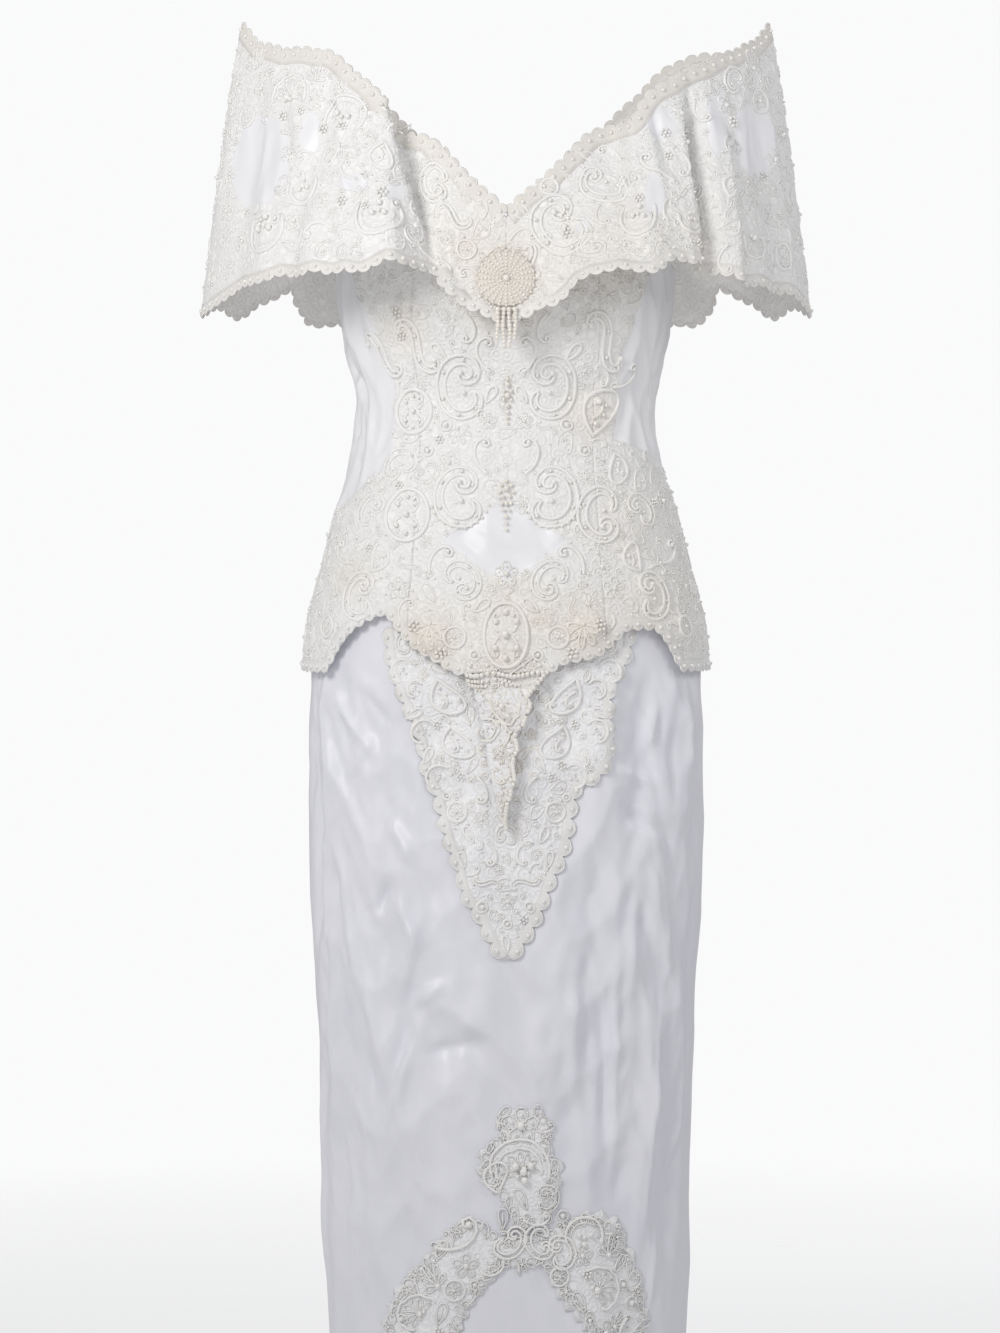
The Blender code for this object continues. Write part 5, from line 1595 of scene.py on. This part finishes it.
def make_collar():
    for label, side, front_rows, folds in (
        ("left", -1, COLLAR_LEFT_FRONT, COLLAR_LEFT_FOLDS),
        ("right", 1, COLLAR_RIGHT_FRONT, COLLAR_RIGHT_FOLDS),
    ):
        collar = Collar(side, front_rows, folds)
        lace = Lace(Carrier(collar.outer, LACE_SHARE, LACE_UP, side))
        halves = (
            (f"collar_front_{label}", 0.0, 1 - COLLAR_SEAM_SHARE, 190, 44),
            (f"collar_back_{label}", 1 + COLLAR_SEAM_SHARE, 2.0, 120, 36),
        )
        for node, first, last, columns, rows in halves:
            def place(across, up):
                across = 1 - across if side < 0 else across
                return first + (last - first) * across, up

            vertices, faces, *_ = shell(columns, rows, place, collar.outer, collar.inner)
            piece = add_piece(f"{node}_satin", vertices, faces, LACED_SATIN, "collar_lace", [node],
                              lace=1 - collar_bare(vertices), warm=warmth(vertices))
            share = np.linspace(first + 0.004, last - 0.004, 500)
            scalloped_trim(f"{node}_low_trim", lace, share, np.full(500, 0.0), side, "collar_lace", warm=0.35)
            scalloped_trim(f"{node}_top_trim", lace, share, np.full(500, 1.0), -side, "collar_lace",
                           stand=7.5, dip=3.6, warm=0.5)
        add_collar_motifs(lace, collar, side)
        lace.make(f"collar_{label}", "collar_lace")


def add_collar_motifs(lace, collar, side):
    """Sets the large motifs on the front, repeats most on the back, and fills the lace between."""
    share, up = np.meshgrid(np.linspace(0.02, 1.98, 600), np.linspace(0.05, 0.95, 60))
    share, up = share.ravel(), up.ravel()
    points = collar.outer(share, up)
    taken = []

    def set_motif(motif, facing, x, flip, width):
        """Sets a motif where the collar is nearest to its place, on the front for a negative facing."""
        wrong_side = np.where(points[:, 1] * facing > 0, 0, COLLAR_LENGTH)
        k = int((np.hypot(points[:, 0] - x, points[:, 2] - motif.z) + wrong_side).argmin())
        lace.place(motif.kind, share[k], up[k], motif.size, motif.tilt, flip, width=width)
        taken.append((points[k], motif.size * 0.9))

    for motif in COLLAR_MOTIFS[side]:
        set_motif(motif, -1, motif.x, motif.flip, 3.2 if motif.size > 12 else 2.6)
        if motif.size > 9:
            set_motif(motif, 1, motif.x * 0.94, -motif.flip, 2.3)

    def region(a, b, where, size):
        margin = 10 + size
        inside = (b * COLLAR_DROP > margin) & ((1 - b) * COLLAR_DROP > margin) & (a > 0.03) & (a < 1.97)
        return inside & (collar_bare(where) < 0.7)

    fill(lace, region, (0.02, 1.98), (0, 1), COLLAR_FILL_SIZES, 800, FILL_KINDS, taken)


def bodice_turn(x, height):
    return turn_of(BODICE_SECTIONS, x, height)


def skirt_turn(x, height):
    return turn_of(SKIRT_SECTIONS, x, height)


def make_bodice_lace():
    carrier = Carrier(bodice_outer)
    lace = Lace(carrier)
    taken = []

    for x in JOINT_FLOWERS:
        turn = bodice_turn(x, JOINT_HEIGHT)
        lace.place("flower", turn, JOINT_HEIGHT, 10.0, 23 * x, width=2.4, warm=0.5)
        taken.append((carrier.point(turn, JOINT_HEIGHT), 9.0))

    def set_motif(motif, side):
        turn = bodice_turn(motif.x * side, motif.z)
        if motif.z - edge_height(BASQUE_HEM, turn) < 0.8 * motif.size:
            return
        width = 3.5 if motif.size > 18 else 2.8
        lace.place(motif.kind, turn, motif.z, motif.size, motif.tilt * side, side, width=width)
        taken.append((carrier.point(turn, motif.z), motif.size * 0.92))

    for motif in BODICE_SINGLES:
        set_motif(motif, 1)
    for motif in BODICE_PAIRS:
        for side in (-1, 1):
            set_motif(motif, side)
    for turn in np.linspace(-172, 172, 29):
        if abs(turn) > 70:
            height = float(edge_height(BASQUE_HEM, turn)) + HEM_MOTIF_HEIGHT
            lace.place("c_scroll" if int(turn) % 2 else "wheel", turn, height, HEM_MOTIF_SIZE, width=2.6)
            taken.append((carrier.point(turn, height), HEM_MOTIF_SIZE))

    def region(a, b, where, size):
        over_hem = b - edge_height(BASQUE_HEM, a)
        return (bodice_cover(a, b) > 0.75) & (over_hem > FILL_MARGIN + size) & (b < 122)

    fill(lace, region, (-178, 178), (-245, 120), BODICE_FILL_SIZES, 2000, FILL_KINDS, taken)
    for side in (-1, 1):
        for k in range(12):
            angle = math.radians(-160 + 13 * k)
            x, height = side * (41 - 27 * math.cos(angle)), -90 + 28 * math.sin(angle)
            lace.bead(bodice_turn(x, height), height, 1.5, 0.6)
    for label, side in (("left", -1), ("right", 1)):
        turn = np.linspace(-179.5, -9, 700) * -side
        height = edge_height(BASQUE_HEM, turn)
        scalloped_trim(f"basque_trim_{label}", lace, turn, height, -side, "lace_on_satin",
                       pitch=11.5, depth=8.0, stand=4.0)
    lace.make("bodice", "lace_on_satin")


def curl_share(across, up):
    """How much of the point's curl is reached: most at its right edge, none where it joins the basque."""
    return np.maximum(across, 0) ** 1.4 * ease(3 * (1 - up))


def rung_sides(rungs, height):
    """The left and right x of a strip at a height."""
    return [smooth(column(rungs, z)[::-1], column(rungs, x)[::-1], height)
            for x, z in (("x_left", "z_left"), ("x_right", "z_right"))]


def strip_point(rungs, across, up):
    """Turn and height at a share across and up a strip."""
    keys = np.arange(len(rungs), dtype=float)
    at = (1 - up) * (len(rungs) - 1)
    x_left, z_left, x_right, z_right = (smooth(keys, column(rungs, name), at) for name in Rung._fields)
    x, height = x_left + (x_right - x_left) * across, z_left + (z_right - z_left) * across
    return skirt_turn(x, height), height


def edge_of(rungs, side, inset=0.0):
    """A strip's edge from top to bottom, or a line beside it."""
    up = np.linspace(0.999, 0.001, 260)
    return strip_point(rungs, inset if side < 0 else 1 - inset, up)


def net(name, node, rungs, columns, rows, slot, warm, thick, crown=0.0, lobes=0, seat=APPLIQUE_SEAT, lean=0.0,
        curl=0.0):
    """The net under an applique: the points of the skirt under it, moved out, its edge lobed or plain."""
    top = 0.95 if lobes else 1.0
    across, up = np.meshgrid(np.linspace(0, 1, columns + 1), np.linspace(0, top, rows + 1))
    across = 0.5 + (across - 0.5) * (1 + LOBE_DEPTH * scallop(up, lobes))
    turn, height = strip_point(rungs, across, up)
    base, normals = skirt_outer(turn, height), SKIRT.normal(turn, height)
    bow = 4 * across * (1 - across)
    under = base + normals * (seat + lean * up + curl * curl_share(across, up))[..., None]
    over = under + normals * (thick + crown * bow)[..., None]
    vertices, faces = plate(over, under)
    values = np.tile(np.clip(warm[0] + (warm[1] - warm[0]) * across.ravel(), 0, 1), 2)
    return add_piece(name, vertices, faces, NET, slot, [node], warm=values)


def front_place(lace, motif, side, width, warm):
    """Sets a motif on the front of the skirt and gives the room that it takes."""
    turn = skirt_turn(motif.x * side, motif.z)
    lace.place(motif.kind, turn, motif.z, motif.size, motif.tilt * side, side, width=width, warm=warm)
    return SKIRT.point(turn, motif.z), abs(motif.size) * 0.9


def over_applique(turn, height):
    return skirt_outer(turn, height) + SKIRT.normal(turn, height) * (APPLIQUE_SEAT + APPLIQUE_WALL)


def make_v_lace():
    lace = Lace(Carrier(over_applique))
    v_net = net("skirt_v_lace_net", "skirt_v_lace", V_LACE, 30, 90, "corded_lace", (0.1, 0.1), APPLIQUE_WALL)
    taken = []
    for motif in V_MOTIFS:
        left, right = rung_sides(V_LACE, motif.z)
        for side, edge in ((-1, -left), (1, right)):
            kept = motif._replace(x=min(motif.x, float(edge) - 0.5 * motif.size))
            taken.append(front_place(lace, kept, side, 3.2 if motif.size > 14 else 2.6, 0.12))
    for motif in V_MIDDLE:
        taken.append(front_place(lace, motif, 1, 2.6, 0.12))
    for label, side in (("left", -1), ("right", 1)):
        scalloped_trim(f"skirt_v_trim_{label}", lace, *edge_of(V_LACE, side), -side, "corded_lace",
                       pitch=18.0, depth=6.5, stand=5.5, warm=0.1)

    def region(a, b, where, size):
        left, right = rung_sides(V_LACE, b)
        x, margin = where[..., 0], size + FILL_MARGIN
        return (x > left + margin) & (x < right - margin) & (b > -490)

    fill(lace, region, (-50, 50), (-490, -215), V_FILL_SIZES, 1400, V_FILL_KINDS, taken)
    lace.make("skirt_v", "corded_lace")


def make_arch_lace():
    carrier = Carrier(over_applique)
    lace = Lace(carrier)
    flower_net = net("skirt_arch_flower_net", "skirt_arch_flower", ARCH_FLOWER, 12, 48, "corded_lace",
                     (0.05, 0.05), 0.7, 0.3, lobes=8)
    arch_net = net("skirt_arch_net", "skirt_arch_lace", ARCH_LACE, 12, 168, "corded_lace",
                   (0.05, 0.05), 0.7, 0.3, lobes=28)
    for motif in ARCH_MOTIFS:
        front_place(lace, motif, 1, 2.6 if abs(motif.size) > 12 else 2.1, 0.08)
    for rungs in (ARCH_FLOWER, ARCH_LACE):
        for side in (-1, 1):
            a, b, count = along_edge(carrier, *edge_of(rungs, side, LOOP_INSET), ARCH_LOOP_PITCH, 1)
            for k in range(1, count):
                kind, size = ARCH_LOOPS[k % len(ARCH_LOOPS)]
                lace.place(kind, a[k], b[k], size, float(random.uniform(-70, 70)), width=1.8, warm=0.08)
    lace.make("skirt_arch", "corded_lace")


def point_surface(turn, height):
    """The outer face of the point: off the skirt, crowned, its right edge curled up."""
    turn, height = np.broadcast_arrays(np.asarray(turn, float), np.asarray(height, float))
    base = skirt_outer(turn, height)
    left, right = rung_sides(BASQUE_POINT, height)
    across = np.clip((base[..., 0] - left) / np.maximum(right - left, 1.0), 0, 1)
    top, tip = BASQUE_POINT[0].z_left, BASQUE_POINT[-1].z_left
    share = np.clip((height - tip) / (top - tip), 0, 1)
    lift = POINT_SEAT + POINT_LEAN * share + LACE_WALL + POINT_CROWN * 4 * across * (1 - across)
    return base + SKIRT.normal(turn, height) * (lift + POINT_CURL * curl_share(across, share))[..., None]


def make_point():
    """The beaded point at the front of the basque, standing off the skirt."""
    point_net = net("basque_point_net", "basque_point", BASQUE_POINT, 14, 50, "champagne_beadwork",
                    (0.1, 0.7), LACE_WALL, POINT_CROWN, seat=POINT_SEAT, lean=POINT_LEAN, curl=POINT_CURL)
    lace = Lace(Carrier(point_surface))

    def bead(x, z, radius):
        lace.bead(skirt_turn(x, z), z, radius, 0.6)

    for item in POINT_MOTIFS:
        turn = skirt_turn(item.x, item.z)
        lace.place(item.kind, turn, item.z, item.size, item.tilt, width=item.width, warm=item.warm)
    for share in np.linspace(0, 1, 46):
        z = -250 - 134 * share
        left, right = rung_sides(BASQUE_POINT, z)
        bead(right - 0.8, z, 2.3)
        middle, half = (left + right) / 2, (right - left) / 2 - 3
        for _ in range(2):
            turn = skirt_turn(middle + half * float(random.uniform(-1, 1)), z)
            height = z + float(random.uniform(-1.5, 1.5))
            lace.bead(turn, height, float(random.uniform(1.0, 1.6)), float(random.uniform(0.4, 0.9)))
    for k in range(19):
        bead(-35 + 3.9 * k, -247.6, 2.3)
    for row in (0, 1):
        for k in range(13):
            bead(-34 + 3.9 * k, -252.5 - 4.2 * row - 0.12 * k, 1.8)
    lace.make("basque_point", "champagne_beadwork")


def solid_box(node):
    """The corners of a solid's box, in millimetres."""
    return [np.array(corner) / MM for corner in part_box(node)]


def champagne_pearls(name, centres, radii, palest, replaced=()):
    warm = random.uniform(palest, 1.0, len(centres))
    make_beads(name, np.array(centres), np.array(radii), warm, "pearls", replaced)


def make_fan():
    """Pearls in rays on a round pad that leans as its solid does."""
    low, high = solid_box("pearl_fan")
    centre = (low + high) / 2
    slope = math.asin(max(-1.0, min(1.0, (high[1] - low[1] - 4.0) / (high[2] - low[2]))))
    down = np.array([0, -math.sin(slope), -math.cos(slope)])
    out = np.array([0, -math.cos(slope), math.sin(slope)])
    right = np.array([1.0, 0, 0])
    centres, radii = [centre + out * 2.6], [3.0]
    for k in range(FAN_SPOKES):
        angle = math.tau * k / FAN_SPOKES
        ray = right * math.sin(angle) - down * math.cos(angle)
        for ring in FAN_RINGS:
            if ring.reach > 11 or k % 2 == 0:
                centres.append(centre + ray * ring.reach + out * (2.4 - 0.06 * ring.reach))
                radii.append(ring.radius)
    champagne_pearls("pearl_fan_pearls", centres, radii, 0.75)

    sides, last = FAN_PAD_SIDES, len(FAN_PAD) - 1
    pad, faces = [centre + out * 1.6, centre - out * 1.2], []
    for ring in FAN_PAD:
        for angle in np.linspace(0, math.tau, sides, endpoint=False):
            ray = right * math.sin(angle) - down * math.cos(angle)
            pad.append(centre + ray * ring.radius + out * ring.lift)
    for k in range(sides):
        after = (k + 1) % sides
        faces.append([0, 2 + after, 2 + k])
        for near in range(2, 2 + last * sides, sides):
            faces.append([near + k, near + after, near + sides + after, near + sides + k])
        faces.append([1, 2 + last * sides + k, 2 + last * sides + after])
    warm = np.full(len(pad), 0.9)
    add_piece("pearl_fan_pad", np.array(pad), faces, TRIM, "pearls", ["pearl_fan"], warm=warm)


def make_tassel():
    """Four strands of pearls under the fan, the middle two longer."""
    low, high = solid_box("pearl_tassel")
    depth, top = (low[1] + high[1]) / 2, high[2]
    centres, radii = [], []
    for strand, length in enumerate((8, 10, 10, 8)):
        for k in range(length):
            sway = 0.5 * math.sin(k * 0.7 + strand * 2)
            centres.append((5.2 * (strand - 1.5) + sway, depth - 0.2, top - 1.6 - 3.6 * k))
            radii.append(2.0 if k % 4 else 2.4)
    champagne_pearls("pearl_tassel_strands", centres, radii, 0.7, ["pearl_tassel"])


def make_drops():
    """The two pendants down the front of the bodice."""
    for node, pearls in PEARL_DROPS.items():
        low, high = solid_box(node)
        middle = (low[0] + high[0]) / 2
        centres = []
        for pearl in pearls:
            point = bodice_outer(bodice_turn(pearl.x + middle, pearl.z), pearl.z)
            centres.append(point + np.array([0, -1, 0]) * (pearl.radius * 0.9 + 0.4))
        champagne_pearls(f"{node}_pearls", centres, column(pearls, "radius"), 0.7, [node])


def make_buttons():
    """Covered buttons down the back, each held by a thin loop."""
    shape, button_faces = sphere(8, 14)
    names = [f"back_button_{number:02d}" for number in range(1, BUTTONS + 1)]
    vertices, faces, loops, loop_faces = [], [], [], []
    share = np.linspace(0, 1, 15).tolist()
    bend = [(7.0 - 15.5 * math.sin(math.pi * t) ** 0.8, 5.6 * math.cos(math.pi * t)) for t in share]
    for number, node in enumerate(names):
        low, high = solid_box(node)
        centre = (low + high) / 2
        vertices.append(centre + shape * (high - low) / 2)
        faces.extend([[number * len(shape) + v for v in face] for face in button_faces])
        points = np.array([(centre[0] - 7.0 + x, high[1] - 3.4, centre[2] + z) for x, z in bend])
        outwards, widths = np.tile((0, 1.0, 0), (len(points), 1)), np.full(len(points), 1.4)
        rings, quads = sweep(points, outwards, widths, False, ROUND)
        loops.append(rings)
        loop_faces.extend((quads + number * len(rings)).tolist())
    add_piece("back_buttons", np.concatenate(vertices), faces, SATIN, "satin", names)
    loops = np.concatenate(loops)
    add_piece("back_button_loops", loops, loop_faces, THREAD, "satin", warm=np.zeros(len(loops)))


def make_floor():
    bpy.ops.mesh.primitive_circle_add(vertices=96, radius=FLOOR_RADIUS, fill_type="NGON",
                                      location=(0, 0, HEM_HEIGHT * MM))
    floor = bpy.context.object
    floor.name = "studio_floor"
    floor.data.materials.append(floor_paint())


def make_world():
    """A pale backdrop that lights the gown less than it shows."""
    world = bpy.data.worlds.new("pale_studio")
    bpy.context.scene.world = world
    world.use_nodes = True
    tree = world.node_tree
    tree.nodes.clear()
    kinds = ("Background", "Background", "LightPath", "MixShader", "OutputWorld")
    seen, light, path, mix, out = (tree.nodes.new(f"ShaderNode{kind}") for kind in kinds)
    seen.inputs["Color"].default_value = WORLD_SEEN
    light.inputs["Color"].default_value = WORLD_COLOUR
    light.inputs["Strength"].default_value = WORLD_LIGHT
    tree.links.new(path.outputs["Is Camera Ray"], mix.inputs[0])
    tree.links.new(light.outputs[0], mix.inputs[1])
    tree.links.new(seen.outputs[0], mix.inputs[2])
    tree.links.new(mix.outputs[0], out.inputs["Surface"])


def make_lamps():
    for lamp in LIGHTS:
        data = bpy.data.lights.new(lamp.name, "AREA")
        data.shape = "ELLIPSE"
        data.size, data.size_y = lamp.width, lamp.height
        data.spread = math.radians(lamp.spread)
        data.energy = lamp.energy
        data.color = lamp.colour
        made = bpy.data.objects.new(lamp.name, data)
        made.location = lamp.place
        aim = bpy.data.objects.new(f"{lamp.name}_aim", None)
        aim.location = lamp.target
        for thing in (made, aim):
            bpy.context.scene.collection.objects.link(thing)
        track = made.constraints.new("TRACK_TO")
        track.target = aim
        track.track_axis, track.up_axis = "TRACK_NEGATIVE_Z", "UP_Y"


def make_camera():
    bpy.context.scene.view_settings.view_transform = "Standard"
    data = bpy.data.cameras.new("camera")
    data.lens = CAMERA_LENS
    data.sensor_width = CAMERA_SENSOR
    camera = bpy.data.objects.new("camera", data)
    camera.location = CAMERA_PLACE
    camera.rotation_euler = (math.radians(90), 0, 0)
    bpy.context.scene.collection.objects.link(camera)
    bpy.context.scene.camera = camera


make_skirt()
make_bodice()
make_collar()
make_bodice_lace()
make_v_lace()
make_arch_lace()
make_point()
make_fan()
make_tassel()
make_drops()
make_buttons()
make_floor()
make_world()
make_lamps()
make_camera()
